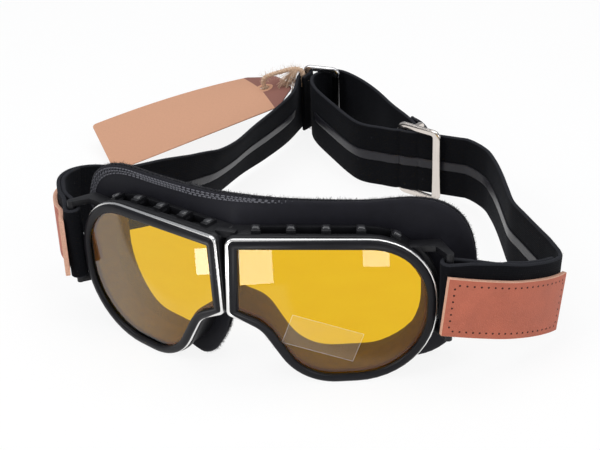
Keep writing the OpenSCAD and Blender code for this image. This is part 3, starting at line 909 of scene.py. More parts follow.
@dataclass(frozen=True)
class LensOutline:
    """Outline of one lens frame, in millimetres along and up the lens."""

    wrap: float = math.radians(21.7)
    rim_back: float = 4.3
    bridge: float = 0.15
    corners: tuple[Place, ...] = (
        (0, 33, 3), (12, 26, 15), (27, 0, 25), (80, 0, 31), (80, 61.6, 27), (1.2, 66, 3))

    @property
    def nose_x(self) -> float:
        """Distance from the symmetry plane to the nose edge."""
        return self.rim_back * math.sin(self.wrap) + self.bridge

    def inset(self, depth: float) -> list[Place]:
        """The corners after every edge moves inwards.

        Args:
            depth: How far the edges move.

        Returns:
            Corners with their radii.
        """
        moved = []
        count = len(self.corners)
        for i, (x, y, r) in enumerate(self.corners):
            here = Vector((x, y))
            come = (here - Vector(self.corners[i - 1][:2])).normalized()
            go = (Vector(self.corners[(i + 1) % count][:2]) - here).normalized()
            shift = Vector((-come.y - go.y, come.x + go.x)) * (depth / (1 + come.dot(go)))
            bend = math.copysign(1.0, come.cross(go))
            moved.append((x + shift.x, y + shift.y, max(r - bend * depth, 0.3)))
        return moved

    def fillet(self, corners: Sequence[Place], i: int, steps: int) -> list[Vector]:
        """Points of the fillet at one corner.

        Args:
            corners: Corners with their radii.
            i: The corner.
            steps: Steps of the fillet.

        Returns:
            Points along and up the lens.
        """
        count = len(corners)

        def spot(k: int) -> Vector:
            """Corner k without its radius."""
            return Vector(corners[k % count][:2])

        def half(k: int) -> float:
            """Half of the angle inside corner k."""
            return (spot(k - 1) - spot(k)).angle(spot(k + 1) - spot(k)) / 2

        def reach(k: int) -> float:
            """Length of the fillet along each edge of corner k."""
            return corners[k % count][2] / math.tan(half(k))

        here, come, go = spot(i), spot(i - 1) - spot(i), spot(i + 1) - spot(i)
        share = min(1.0, come.length / (reach(i) + reach(i - 1)), go.length / (reach(i) + reach(i + 1)))
        radius = reach(i) * share * math.tan(half(i))
        centre = here + (come.normalized() + go.normalized()).normalized() * radius / math.sin(half(i))
        first = here + come.normalized() * reach(i) * share - centre
        start = math.atan2(first.y, first.x)
        sweep = math.copysign(math.pi - 2 * half(i), (-come).cross(go))
        return [centre + Vector((math.cos(a), math.sin(a))) * radius
                for a in (start + sweep * k / steps for k in range(steps + 1))]

    def loop(self, depth: float, steps: int = 12) -> list[Vector]:
        """The whole rounded outline at an inset."""
        corners = self.inset(depth)
        return [p for i in range(len(corners)) for p in self.fillet(corners, i, steps)]

    def place(self, u: float, v: float, w: float, side: Side) -> Vector:
        """A point along, up and behind the lens, in metres in the frame."""
        x = self.nose_x + u * math.cos(self.wrap) - w * math.sin(self.wrap)
        return Vector((side.value * x, u * math.sin(self.wrap) + w * math.cos(self.wrap), v)) * MM


OUTLINE = LensOutline()
RIM_BACK: Profile = ((0.0, 2.1), (0.1, 2.5), (0.5, 2.7), (1.22, 2.7))
BEZEL_LIP: Profile = ((3.7, 0.06), (4.15, 0.4), (4.38, 0.9), (4.42, 1.3), (4.3, 1.4), (2.85, 1.42),
                      (2.8, 1.6), (2.8, 4.5))


@dataclass
class LensFrame:
    """One lens frame: bright rim, crowned bezel, lens and seal."""

    side: Side
    rim: Profile = ((1.22, 1.15), (0.8, 1.1), (0.4, 1.1), (0.12, 1.2), (0.0, 1.5), *RIM_BACK)
    nose_rim: Profile = ((1.3, 0.75), (0.85, 0.62), (0.4, 0.66), (0.1, 0.85), (0.0, 1.3), *RIM_BACK)
    bezel: Profile = ((0.3, 1.05), (0.22, 0.75), (0.35, 0.4), (0.75, 0.08), (1.4, -0.12), (2.2, -0.18),
                      (3.0, -0.12), *BEZEL_LIP, (1.32, 4.58), (1.32, 1.1))
    nose_bezel: Profile = ((1.34, 1.05), (1.32, 0.75), (1.42, 0.4), (1.65, 0.1), (2.0, -0.08), (2.5, -0.16),
                           (3.1, -0.12), *BEZEL_LIP, (1.36, 4.58), (1.36, 1.1))
    rim_swell: float = 0.55
    rim_front: float = 0.6
    film: Profile = ((22.3, 25.4), (49.8, 15.0))
    film_half: float = 6.6
    film_depth: float = 1.44
    nose_reach: float = 7.0
    lean: float = 0.85
    depth: float = 4.3
    slim_low: float = 1.2
    slim_side: float = 0.75
    slim_most: float = 0.8
    lip_from: float = 2.9
    lip_depth: float = 1.41
    lip_root: float = 2.2
    lip_w: float = 2.22

    def slimmed(self, inset: float, w: float, out: Vector, swell: float) -> float:
        """Inset of a point where the lip narrows below and the rim swells at the temple.

        Args:
            inset: Inset of the plain profile.
            w: Depth of the point.
            out: The way out of the outline.
            swell: How far the rim stands out at the temple.

        Returns:
            The inset there.
        """
        if inset > self.lip_from and w < self.lip_depth:
            slim = min(self.slim_most, self.slim_low * max(0.0, -out.y) + self.slim_side * max(0.0, out.x))
            return inset - slim * (inset - self.lip_root) / self.lip_w
        return inset - swell * max(0.0, out.x) if inset < self.rim_front else inset

    def hoop(self, far: Profile, near: Profile, swell: float = 0.0) -> BMesh:
        """Sweep a profile of inset and depth round the outline.

        Args:
            far: Closed profile in millimetres.
            near: The same points at the nose, where the frames stand closer at the front.
            swell: How far the profile's outside stands out at the temple.

        Returns:
            The hoop.
        """
        base = OUTLINE.loop(2.0)
        outs = []
        for i in range(len(base)):
            run = base[(i + 1) % len(base)] - base[i - 1]
            outs.append(Vector((run.y, -run.x)).normalized())
        loops = []
        for (far_in, far_w), (near_in, near_w) in zip(far, near):
            row = []
            for p, q, out in zip(OUTLINE.loop(far_in), OUTLINE.loop(near_in), outs):
                p = p + out * (far_in - self.slimmed(far_in, far_w, out, swell))
                q = q + out * (near_in - self.slimmed(near_in, near_w, out, swell))
                share = max(0.0, 1.0 - max(p.x, 0.0) / self.nose_reach) ** 0.7
                spot, w = p.lerp(q, share), far_w + (near_w - far_w) * share
                place = OUTLINE.place(spot.x, spot.y, w, self.side)
                place.x -= self.side.value * share * self.lean * max(0.0, 1.0 - w / self.depth) * MM
                row.append(place)
            loops.append(row)
        return skin(loops, ring=True)

    def build(self) -> None:
        """Make the rim and the bezel, and dress the lens and its seal."""
        word = self.side.word
        add_piece(f"rim_{word}", self.hoop(self.rim, self.nose_rim, self.rim_swell), [CHROME],
                  [f"chrome_rim_{word}"], 60.0)
        add_piece(f"bezel_face_{word}", self.hoop(self.bezel, self.nose_bezel), [BEZEL],
                  [f"bezel_{word}"], 50.0)
        dress_node(f"lens_{word}", LENS)
        dress_node(f"lens_gasket_{word}", SEAL)
        if self.side is Side.RIGHT:
            self.add_film()

    def add_film(self) -> None:
        """Stick a bare clear film on the front of the lens."""
        left, right = (Vector(p) for p in self.film)
        middle, half = (left + right) / 2, (right - left) / 2
        up = Vector((-half.y, half.x)).normalized() * self.film_half
        bm = bmesh.new()
        bmesh.ops.create_grid(bm, x_segments=6, y_segments=3, size=1.0)
        map_loops(bm, lambda v: v.co.xy)
        for v in bm.verts:
            spot = middle + half * v.co.x + up * v.co.y
            v.co = OUTLINE.place(spot.x, spot.y, self.film_depth, self.side)
        add_piece("lens_film_right", outward(bm), [FILM])


@dataclass
class RubberBody:
    """The vented rubber body with its front lips, studs, foam and lining, and its two strap ears."""

    edge: float = 0.45
    first: float = 12.25
    pitch: float = 13.25
    studs: int = 5
    stud: Place = (3.7, 3.6, 3.4)
    stud_taper: float = 0.86
    stud_edge: float = 0.75
    stud_lift: float = 0.35
    depth: float = 9.4
    ear_edge: float = 0.8
    lip: Profile = ((0.5, 2.72), (0.05, 2.62), (-0.2, 2.7), (-0.32, 3.0), (-0.32, 4.3), (-0.15, 4.65),
                    (0.3, 4.8), (0.9, 4.8), (0.9, 2.8))
    foam: Profile = ((3.64, 5.6), (3.64, 13.4), (3.86, 13.4), (3.86, 5.6))
    lining: Profile = ((4.2, 4.35), (4.2, 15.2), (4.5, 15.2), (4.5, 4.35))

    def hoop(self, profile: Profile, side: Side) -> BMesh:
        """Sweep a closed profile of inset and depth round one lens outline."""
        return skin([[OUTLINE.place(p.x, p.y, w, side) for p in OUTLINE.loop(inset)] for inset, w in profile],
                    ring=True)

    def stud_row(self, side: Side) -> Iterable[BMesh]:
        """Rounded studs on the posts between the vents.

        Args:
            side: The lens that they stand over.

        Yields:
            One stud at a time.
        """
        outline = OUTLINE.loop(0.6, 24)
        for i in range(self.studs):
            u = self.first + self.pitch * i
            a, b = next((a, b) for a, b in zip(outline, outline[1:]) if min(a.y, b.y) > 30 and a.x >= u > b.x)
            spot = a.lerp(b, (a.x - u) / (a.x - b.x))
            tilt = (a - b).normalized()
            bm = bmesh.new()
            bmesh.ops.create_cube(bm, size=1.0)
            bmesh.ops.scale(bm, vec=self.stud, verts=bm.verts)
            for v in bm.verts:
                if v.co.z > 0:
                    v.co.xy *= self.stud_taper
            bevel(bm, bm.edges[:], self.stud_edge, 3)
            for v in bm.verts:
                flat = spot + tilt * v.co.x + Vector((-tilt.y, tilt.x)) * (v.co.z + self.stud_lift)
                v.co = OUTLINE.place(flat.x, flat.y, self.depth + v.co.y, side)
            yield outward(bm)

    def build(self) -> None:
        """Round the moulded edges, and add the lips, the studs, the foam behind the vents and the lining."""
        parts = [softened("rubber_body", self.edge * MM, 2)]
        for side in Side:
            parts.append(self.hoop(self.lip, side))
            add_piece(f"studs_{side.word}", merge(self.stud_row(side)), [STUD_PAINTED_HIGHLIGHT], (), 60.0)
            add_piece(f"foam_{side.word}", self.hoop(self.foam, side), [FOAM])
            add_piece(f"lining_{side.word}", self.hoop(self.lining, side), [LINING])
        add_piece("vent_body", merge(parts), [RUBBER], ["rubber_body"], 50.0)
        for side in Side:
            lug = f"strap_lug_{side.word}"
            add_piece(f"strap_ear_{side.word}", softened(lug, self.ear_edge * MM, 3), [RUBBER], [lug], 50.0)


@dataclass(frozen=True)
class PadStation:
    """One section of the pad: its front, edge, outward way, inward ways and the way back."""

    front: Vector
    edge: Vector
    out: Vector
    middle: Vector
    plane: Vector
    inward: Vector
    rear: Vector
    depth: Vector

    def across(self, t: float) -> Vector:
        """A point of the panel, at a share of the way from its front to its edge."""
        return pulled(self.front, self.middle * 2 - (self.front + self.edge) / 2, self.edge, t)


@dataclass
class FacePad:
    """The face pad: a smooth front panel, a plush cushion behind it, stitches and nap."""

    inset: float = 0.6
    front: float = 14.2
    brow: float = 8.0
    temple: float = 16.0
    chin: float = 0.8
    nose: float = 7.5
    tuck: float = 6.0
    edge_y: float = 22.0
    sweep: float = 0.42
    panel_t: float = 1.6
    panel_turn: float = 0.6
    hem_out: float = 0.5
    hem: Point = (0.4, 1.1)
    crown: float = 1.2
    thick: float = 8.0
    back: float = 6.0
    rest: float = 0.4
    neck: float = 4.0
    wall: float = 3.7
    flare: float = 0.3
    flare_right: float = 0.46
    flare_brow: float = 0.15
    temple_left: float = 12.5
    corner: float = 4.0
    corner_lift: float = 2.6
    nose_right: float = 3.5
    nose_drop: float = 6.2
    nose_side: float = 3.0
    nose_half: float = 6.0
    nose_top: float = 0.5
    nose_turn: float = 14.0
    temple_high: float = 1.6
    temple_low: float = 1.1
    corner_left: float = 0.5
    sweep_round: float = 8.0
    tuck_gain: float = 1.6
    passes: int = 6
    step: float = 2.6
    seams: Place = (0.74, 0.83, 0.93)
    stitch_h: float = 0.32
    stitch_r: float = 0.27
    looper_r: float = 0.12
    seam_from: float = 0.1
    seam_wrap: float = 1.2
    drift_from: float = -20.0
    drift_over: float = 60.0
    tufts: int = 60
    stations: list[PadStation] = field(default_factory=list)

    def loop(self) -> list[Vector]:
        """Back edge of the rubber body, all round, in millimetres.

        Returns:
            Points in order.
        """
        corners = OUTLINE.inset(self.inset)
        centre = (self.front * math.sin(OUTLINE.wrap) - OUTLINE.nose_x) / math.cos(OUTLINE.wrap)

        def at(a: Sequence[float], b: Sequence[float]) -> Vector:
            """The point of an edge that lies in the symmetry plane."""
            return Vector((centre, a[1] + (b[1] - a[1]) * (centre - a[0]) / (b[0] - a[0])))

        flat = [at(corners[0], corners[1])]
        for i in (1, 2, 3, 4):
            flat += OUTLINE.fillet(corners, i, 12)
        flat.append(at(corners[5], corners[4]))
        points = [OUTLINE.place(p.x, p.y, self.front, Side.RIGHT) / MM for p in flat]
        half = []
        for a, b in zip(points, points[1:]):
            n = max(1, math.ceil((b - a).length / self.step))
            half += [a.lerp(b, k / n) for k in range(n)]
        half.append(points[-1])
        return half + [Vector((-p.x, p.y, p.z)) for p in half[-2:0:-1]]

    def nose_share(self, out: Vector, x: float) -> float:
        """How much an outward way faces the nose."""
        top = self.nose_top if out.z < 0 and abs(x) < self.nose_half else 0.0
        return max(-out.x * math.copysign(1.0, x) if abs(x) > 1e-6 else 0.0, top)

    def lifted(self, p: Vector) -> Vector:
        """The same point, kept above the surface that the goggles stand on."""
        return Vector((p.x, p.y, max(p.z, self.rest)))

    def survey(self) -> None:
        """Work out every section of the pad."""
        loop = self.loop()
        count = len(loop)
        edges, outs = [], []
        for i, p in enumerate(loop):
            d = loop[(i + 1) % count] - loop[i - 1]
            out = Vector((d.z, 0.0, -d.x)).normalized()
            side = math.copysign(1.0, p.x) if abs(p.x) > 1e-6 else 0.0
            share = self.nose_share(out, p.x)
            flare = (self.brow * max(out.z, 0) ** 2 + self.chin * max(-out.z, 0) ** 2
                     + (self.temple_left if side < 0 else self.temple)
                     * max(out.x * side, 0) ** (self.temple_high if out.z > 0 else self.temple_low)
                     + (self.nose if side < 0 else self.nose_right) * share ** 2)
            e = p + out * flare
            square = (2 * max(out.z, 0) * max(out.x * side, 0)) ** 2
            e.x += side * self.corner * square
            e.z += self.corner_lift * square * (self.corner_left if side < 0 else 1.0)
            if side < 0:
                e -= Vector((self.nose_side, 0.0, self.nose_drop)) * share ** 2
            swept = math.hypot(self.sweep_round, self.sweep * e.x) - self.sweep_round
            depth = self.edge_y + swept - self.tuck * min(1.0, self.tuck_gain * share)
            edges.append(self.lifted(Vector((e.x, depth, e.z))))
            outs.append(out)
        for _ in range(self.passes):
            edges = [self.lifted(e) for e in eased(edges)]
            outs = [out.normalized() for out in eased(outs)]
        for p, e, out in zip(loop, edges, outs):
            run = (e - p).normalized()
            inward = (BACK * run.dot(out) - out * run.dot(BACK)).normalized()
            turn = OUTLINE.wrap * min(max(p.x / self.nose_turn, -1.0), 1.0)
            depth = Vector((-math.sin(turn), math.cos(turn), 0.0))
            middle = self.lifted((p + e) / 2 - inward * self.crown * max(run.dot(BACK), 0.0))
            rear = e + BACK * max(p.y + self.neck / 2 - e.y, 0.0)
            plane = out - depth * out.dot(depth)
            self.stations.append(PadStation(p, e, out, middle, plane, inward, rear, depth))

    def panel_section(self, s: PadStation) -> list[Vector]:
        """Closed section of the front panel, with a rolled hem at its edge.

        Args:
            s: The station.

        Returns:
            Points in metres.
        """
        outer = [s.across(k / 8) for k in range(9)]
        inner = [s.front - s.plane * self.panel_t, s.front + (BACK - s.out * self.panel_turn) * self.panel_t,
                 s.middle + s.inward * self.panel_t, s.edge + s.inward * self.panel_t * 0.95]
        brink = s.edge + (s.edge - s.middle).normalized() * self.hem_out
        hem = [brink + s.inward * depth for depth in self.hem]
        return [self.lifted(p) * MM for p in outer + hem + inner[::-1]]

    def cushion_section(self, s: PadStation, skin_t: float = 1.75) -> list[Vector]:
        """Closed crowned section of the cushion.

        Args:
            s: The station.
            skin_t: Distance from the panel's face to the cushion.

        Returns:
            Points in metres.
        """
        side = math.copysign(1.0, s.front.x)
        wall = s.front - s.plane * self.wall
        flare = self.flare if side < 0 else self.flare_right
        back_way = s.depth + s.out * (flare * max(0.0, s.out.x * side) + self.flare_brow * max(0.0, s.out.z))
        reach = max(s.rear.y + self.back * 0.7 - wall.y, 4.0) / max(s.depth.y, 0.5)
        outer = s.rear - s.out * self.thick * 0.4 + BACK * self.back
        inner = wall + back_way * reach
        knots = [s.front - s.plane * skin_t, wall + s.depth * 0.4, wall + back_way * reach * 0.5, inner,
                 (inner + outer) / 2 + BACK * 1.2, outer,
                 s.rear - s.out * skin_t * 0.4 + BACK * self.back * 0.75,
                 s.edge + s.inward * skin_t, s.middle + s.inward * skin_t,
                 s.front + (BACK - s.out * self.panel_turn) * skin_t]
        q = [knots[-1], *knots, *knots[:2]]
        points = [spline(*q[i:i + 4], k / 3) for i in range(len(knots)) for k in range(3)]
        return [self.lifted(p) * MM for p in points]

    def seam_path(self, inner: float, pitch: float = 1.0) -> list[tuple[Vector, Vector]]:
        """Places on the panel near its upper edge, evenly spaced, with the way out of the cloth.

        Args:
            inner: Share of the panel's width where the row runs at the temple on the left.
            pitch: Distance between two places in millimetres.

        Returns:
            Places in metres and unit ways.
        """
        path = []
        for s in self.stations:
            if s.out.z > self.seam_from:
                drift = min(max((s.edge.x - self.drift_from) / self.drift_over, 0.0), 1.0)
                t = inner + (1.0 - inner) * drift
                spot = s.across(t) + s.inward * self.seam_wrap * drift * drift
                way = (s.out * (0.3 + drift) - s.inward * (1.0 - drift)).normalized()
                path.append((spot * MM, way))
        even = []
        for (p, w), (q, x) in zip(path, path[1:]):
            count = max(1, round((q - p).length / MM / pitch))
            even += [(p.lerp(q, k / count), w.lerp(x, k / count).normalized()) for k in range(count)]
        return even

    def stitches(self) -> BMesh:
        """Three rows of stitches with a looper thread that weaves between the outer two.

        Returns:
            The threads in one shape.
        """
        rows = [self.seam_path(share) for share in self.seams]
        count = min(len(row) for row in rows)
        threads = []
        for lane, row in enumerate(rows):
            for i in range(lane % 2, count - 1, 2):
                (a, way), (b, _) = row[i], row[i + 1]
                high = (a + b) / 2 + way * self.stitch_h * MM
                threads.append(skin(tube([a.lerp(b, -0.15), high, a.lerp(b, 1.15)], self.stitch_r * MM, 5)))
        zigzag = [rows[2 * (i % 2)][i] for i in range(count)]
        weave = [spot + way * self.looper_r * MM for spot, way in zigzag]
        return merge([*threads, skin(tube(weave, self.looper_r * MM, 4))])

    def nap(self) -> BMesh:
        """Plush fibres round the edge of the cushion.

        Returns:
            The fibres in one shape.
        """
        dice = random.Random(11)
        roots = []
        for i, s in enumerate(self.stations):
            nxt = self.stations[(i + 1) % len(self.stations)]
            for _ in range(self.tufts):
                t, a = dice.random(), dice.uniform(-0.2, 1.0)
                edge = s.edge.lerp(nxt.edge, t)
                rear = s.rear.lerp(nxt.rear, t)
                inner = rear - s.out * 1.0 + BACK * self.back * 0.72
                start = edge + s.inward * 1.3
                root = start.lerp(inner, max(a, 0.0))
                way = (s.out * (1.0 - 0.4 * a) + BACK * (0.15 + 0.6 * a)).normalized()
                roots.append((self.lifted(root) * MM, way))
        return hairs(roots, (0.8, 1.9), 0.11, 12, 0.5)

    def build(self) -> None:
        """Make the panel, the cushion, the stitches and the nap."""
        self.survey()
        panel = add_piece("pad_front", skin([self.panel_section(s) for s in self.stations], ring=True),
                          [PANEL], ["pad_panel"], 70.0)
        count = len(self.stations)
        points = len(self.cushion_section(self.stations[0]))
        shape = skin([self.cushion_section(s) for s in self.stations], True,
                     [self.step * i for i in range(count + 1)], [float(k) for k in range(points)])
        cushion = add_piece("pad_cushion", shape, [PLUSH], ["face_cushion"], 80.0)
        add_piece("pad_stitches", self.stitches(), [STITCH])
        add_piece("pad_nap_edge", self.nap(), [NAP])


def norm2(a: RoutePoint, b: RoutePoint) -> float:
    """Distance of two route points in plan."""
    return math.hypot(b[0] - a[0], b[1] - a[1])


def smooth(before: RoutePoint, points: Route, after: RoutePoint,
           steps: int = 8) -> Route:
    """A smooth curve through route points.

    Args:
        before: The point that it leaves in line with.
        points: Points that it passes.
        after: The point that it arrives in line with.
        steps: Steps between two points.

    Returns:
        Points along the curve.
    """
    q = [before, *points, after]
    made = [tuple(spline(*axis, k / steps) for axis in zip(*q[i:i + 4]))
            for i in range(len(points) - 1) for k in range(steps)]
    return made + [tuple(points[-1])]


def lengths(route: Route) -> list[float]:
    """Length of a route up to each of its points.

    Args:
        route: Points of the route.

    Returns:
        A length for each point.
    """
    total, made = 0.0, [0.0]
    for a, b in zip(route, route[1:]):
        total += norm2(a, b)
        made.append(total)
    return made


def along_route(route: Route, s: float) -> RoutePoint:
    """The place at a length along a route.

    Args:
        route: Points of the route.
        s: The length.

    Returns:
        The point there.
    """
    marks = lengths(route)
    for i in range(1, len(route)):
        if s <= marks[i]:
            t = (s - marks[i - 1]) / max(marks[i] - marks[i - 1], 1e-9)
            return tuple(a + (b - a) * t for a, b in zip(route[i - 1], route[i]))
    return route[-1]


def arc(centre: Point, radius: float, start: float, end: float, low: float,
        steps: int = 16) -> Route:
    """Points of a turn round an upright bar, with angles in degrees."""
    turns = [math.radians(start + (end - start) * k / steps) for k in range(steps + 1)]
    return [(centre[0] + radius * math.cos(a), centre[1] + radius * math.sin(a), low, 0.0) for a in turns]


@dataclass(frozen=True)
class BandStation:
    """One section of a band: its foot, the way to its right and the way up its face."""

    foot: Vector
    out: Vector
    up: Vector
    at: float


def survey_band(route: Route, slopes: Sequence[float] = ()) -> list[BandStation]:
    """Frames along a route of place, lower edge and lean.

    Args:
        route: Points in millimetres and degrees.
        slopes: Slope at each point in degrees, where it isn't the lower edge's own.

    Returns:
        A station for each point.
    """
    marks = lengths(route)
    made = []
    for i, p in enumerate(route):
        a, b = route[max(i - 1, 0)], route[min(i + 1, len(route) - 1)]
        run = Vector((b[0] - a[0], b[1] - a[1], 0.0)).normalized()
        out = Vector((run.y, -run.x, 0.0))
        drop = math.atan2(a[2] - b[2], norm2(a, b)) if not slopes else math.radians(slopes[i])
        lean = math.radians(p[3])
        up = run * math.sin(drop) * math.cos(lean) + out * math.sin(lean)
        up.z = math.cos(drop) * math.cos(lean)
        made.append(BandStation(Vector(p[:3]), out, up, marks[i]))
    return made


def band(route: Route, profile: Sequence[Point], face: float = 0.0,
         total: Optional[float] = None, slopes: Sequence[float] = ()) -> BMesh:
    """A flat band along a route.

    Args:
        route: Points of place, lower edge and lean.
        profile: Closed section of height and offset in millimetres.
        face: Offset of the face along which the map is measured.
        total: Length of the whole map, where it is not the band's own.
        slopes: Slope at each point in degrees, where it isn't the lower edge's own.

    Returns:
        The band, mapped along and across in millimetres.
    """
    stations = survey_band(route, slopes)
    sections = [[(s.foot + s.out * off + s.up * h) * MM for h, off in profile] for s in stations]
    spots = [s.foot + s.out * face for s in stations]
    marks = [0.0]
    for a, b in zip(spots, spots[1:]):
        marks.append(marks[-1] + (b - a).length)
    scale = total / marks[-1] if total else 1.0
    return skin(sections, False, [m * scale for m in marks], [h for h, _ in profile])


def flat_profile(low: float, high: float, thick: float, shift: float, soft: float,
                 across: int = 8) -> list[Point]:
    """A flat section with soft edges.

    Args:
        low: Height of its lower edge.
        high: Height of its upper edge.
        thick: Its thickness.
        shift: Offset of its middle.
        soft: Rounding of its edges.
        across: Steps across it.

    Returns:
        Points of height and offset.
    """
    half = thick / 2
    bend = [(low + soft * (1 - math.sin(a)), half - soft * (1 - math.cos(a)))
            for a in (math.radians(d) for d in (90, 60, 30, 0))]
    up = bend + [(low + soft + (high - low - 2 * soft) * k / across, half) for k in range(1, across)]
    up += [(high + low - h, off) for h, off in reversed(bend)]
    return [(h, shift + off) for h, off in up] + [(h, shift - off) for h, off in reversed(up)]


@dataclass
class StrapRoutes:
    """The routes of the strap, from the lugs to the slider and the ring."""

    low: float = 3.2
    lug_low: float = 21.0
    thick: float = STRAP_T
    lug: Point = (80.35, 31.28)
    lug_turn_r: float = 2.8
    bar_turn_r: float = 2.5
    fold_l: float = 44.0
    tail_l: float = 14.0
    run_start: Point = (52.0, 180.0)
    run_end: Point = (2.0, 183.5)
    run_steps: int = 50
    ring_left: Point = (-53.5, 246.0)
    folds: Point = (13.5, 22.0)
    fold_h: float = 0.5
    fold_w: float = 3.2
    grooves: Point = (17.6, 27.5)
    groove_h: float = 0.7
    groove_w: float = 0.9
    grip_from: float = 52.0
    grip_to: float = 22.0
    grip_step: float = 0.55
    front_way: Profile = ((-4.5, 185.6), (-11.8, 191.6), (-23.5, 204), (-39.5, 222), (-46.5, 234))
    return_way: Profile = ((-47.5, 243), (-42.5, 250), (-34.5, 251), (-21.5, 242), (-8.5, 229), (4.5, 213),
                           (15.5, 201), (22, 193))

    def flat(self, plan: Profile) -> Route:
        """Upright points of the strap where it stands on the table."""
        return [(x, y, self.low, 0.0) for x, y in plan]

    def lug_centre(self, side: Side) -> Point:
        """Middle of a lug's bar in plan."""
        return (side.value * self.lug[0], self.lug[1])

    def lug_way(self, side: Side) -> Route:
        """The stretch beside a lug.

        Args:
            side: The side of the goggles.

        Returns:
            Points of the route.
        """
        cx, cy = self.lug_centre(side)
        shifts = {
            Side.RIGHT: ((10.65, 5.02, 18), (20.65, 14.72, 13.5), (28.65, 26.72, 9), (33.15, 38.72, 5.5),
                         (33.15, 48.72, 4), (28.15, 58.72, 3.5)),
            Side.LEFT: ((-7.25, 7.02, 21), (-13.85, 14.72, 20.5), (-20.45, 26.22, 19.5),
                        (-21.95, 37.72, 17.5), (-18.15, 48.72, 14.5), (-9.15, 56.22, 12)),
        }[side]
        return [(cx + x, cy + y, z, 0.0) for x, y, z in shifts]

    def side_way(self, side: Side) -> Route:
        """The stretch from the lug to the buckles.

        Args:
            side: The side of the goggles.

        Returns:
            Points of the route.
        """
        if side is Side.RIGHT:
            return self.flat(((101.5, 100), (93.5, 111), (86.5, 121), (81.5, 133), (75.5, 148), (69.5, 161),
                              (63, 171.5)))
        return [(-79, 99, 10.8, 0), (-73, 117, 7.4, 9), (-71, 135, 4.4, 18), (-69, 154, self.low, 21.5),
                (-66, 175, self.low, 20), (-61, 195, self.low, 16), (-57, 217, self.low, 11),
                (-56.2, 236, self.low, 2)]

    def lug_turn(self, side: Side) -> Route:
        """The turn round a lug's bar.

        Args:
            side: The side of the goggles.

        Returns:
            Points of the route.
        """
        centre, first = self.lug_centre(side), self.lug_way(side)[0]
        a = math.degrees(math.atan2(first[1] - centre[1], first[0] - centre[0]))
        return arc(centre, self.lug_turn_r, a + side.value * 90, a + side.value * 270, self.lug_low)

    def run(self) -> Route:
        """The straight stretch that the slider runs on.

        Returns:
            Points of the route.
        """
        (ax, ay), (bx, by) = self.run_start, self.run_end
        plan = []
        for k in range(self.run_steps + 1):
            x, y = ax + (bx - ax) * k / self.run_steps, ay + (by - ay) * k / self.run_steps
            fold = self.fold_h * sum(math.exp(-((x - c) / self.fold_w) ** 2) for c in self.folds)
            groove = self.groove_h * sum(math.exp(-((x - c) / self.groove_w) ** 2) for c in self.grooves)
            plan.append((x, y - fold + groove))
        return self.flat(plan)

    def on_run(self, spot: Vector) -> bool:
        """Whether a point lies on the stretch that the slider runs on."""
        return self.run_end[0] < spot.x < self.run_start[0] and spot.y < self.run_end[1] + self.thick

    def ring_turn(self) -> Route:
        """The turn of the left strap round the ring's bar."""
        return arc(self.ring_left, self.bar_turn_r, 180, 0, self.low)

    def outer(self, side: Side) -> Route:
        """The outer layer from a lug to the run or to the ring.

        Args:
            side: The side of the goggles.

        Returns:
            Points of the route.
        """
        turn = self.lug_turn(side)
        way = [turn[-1], *self.lug_way(side), *self.side_way(side)]
        if side is Side.RIGHT:
            run = self.run()
            return smooth(turn[-3], [*way, run[0]], run[12])
        ring = self.ring_turn()
        return smooth(turn[-3], [*way, ring[0]], ring[3])

    def sewn(self, outer: Route, length: float, turn_r: float, side: Side) -> Route:
        """The sewn end that lies beside a layer after its turn.

        Args:
            outer: The layer, from the turn on.
            length: Length of the sewn end.
            turn_r: Radius of the turn.
            side: The side of the layer that it lies on.

        Returns:
            Points from the turn to the cut end.
        """
        made = []
        for k in range(1, 21):
            s = length * k / 20
            here, ahead = along_route(outer, s), along_route(outer, s + 1)
            run = Vector((ahead[0] - here[0], ahead[1] - here[1])).normalized()
            inward = Vector((-run.y, run.x)) * side.value
            gap = 2 * turn_r + (self.thick + 0.1 - 2 * turn_r) * min(1, s / (5 * turn_r))
            made.append((here[0] + inward.x * gap, here[1] + inward.y * gap, here[2], here[3]))
        return made

    def fold(self, side: Side, outer: Route) -> Route:
        """The sewn end that lies behind the outer layer at a lug."""
        return self.sewn(outer, self.fold_l, self.lug_turn_r, side)[::-1]

    def front(self) -> Route:
        """The right layer from its lug over the run to the ring.

        Returns:
            Points of the route.
        """
        run = self.run()
        first, second = self.flat(self.return_way[:2])
        end = smooth(run[-9], [run[-1], *self.flat(self.front_way), first], second)
        return [*self.outer(Side.RIGHT), *run[1:], *end[1:]]

    def right(self) -> Route:
        """The whole right run."""
        front = self.front()
        return [*self.fold(Side.RIGHT, front), *self.lug_turn(Side.RIGHT), *front[1:]]

    def slider_mid(self) -> Point:
        """Middle of the slider's centre bar in plan.

        Returns:
            Its place.
        """
        (ax, ay), (bx, by) = self.run_start, self.run_end
        d = Vector((bx - ax, by - ay)).normalized()
        reach = self.bar_turn_r + self.thick + 0.4
        return ((ax + bx) / 2 + d.y * reach, (ay + by) / 2 - d.x * reach)

    def back(self) -> Route:
        """The return layer with its loop round the slider's centre bar.

        Returns:
            Points of the route.
        """
        turn = arc(self.slider_mid(), self.bar_turn_r, 180, 360, self.low)
        before, *points = self.flat((self.front_way[-1], *self.return_way))
        way = smooth(before, [*points, turn[0]], turn[3])
        return [*way, *turn[1:], *self.sewn(way[::-1], self.tail_l, self.bar_turn_r, Side.LEFT)]

    def left(self) -> Route:
        """The whole left run with its loop round the ring's bar.

        Returns:
            Points of the route.
        """
        outer, turn = self.outer(Side.LEFT), self.ring_turn()
        flap = smooth(turn[-1], [(-51.5, 241.5, self.low, 0.0), (-53.1, 236.6, self.low, -1.8)],
                      (-54.15, 232.0, self.low, -4.5))
        return [*self.fold(Side.LEFT, outer), *self.lug_turn(Side.LEFT), *outer[1:], *turn[1:], *flap]

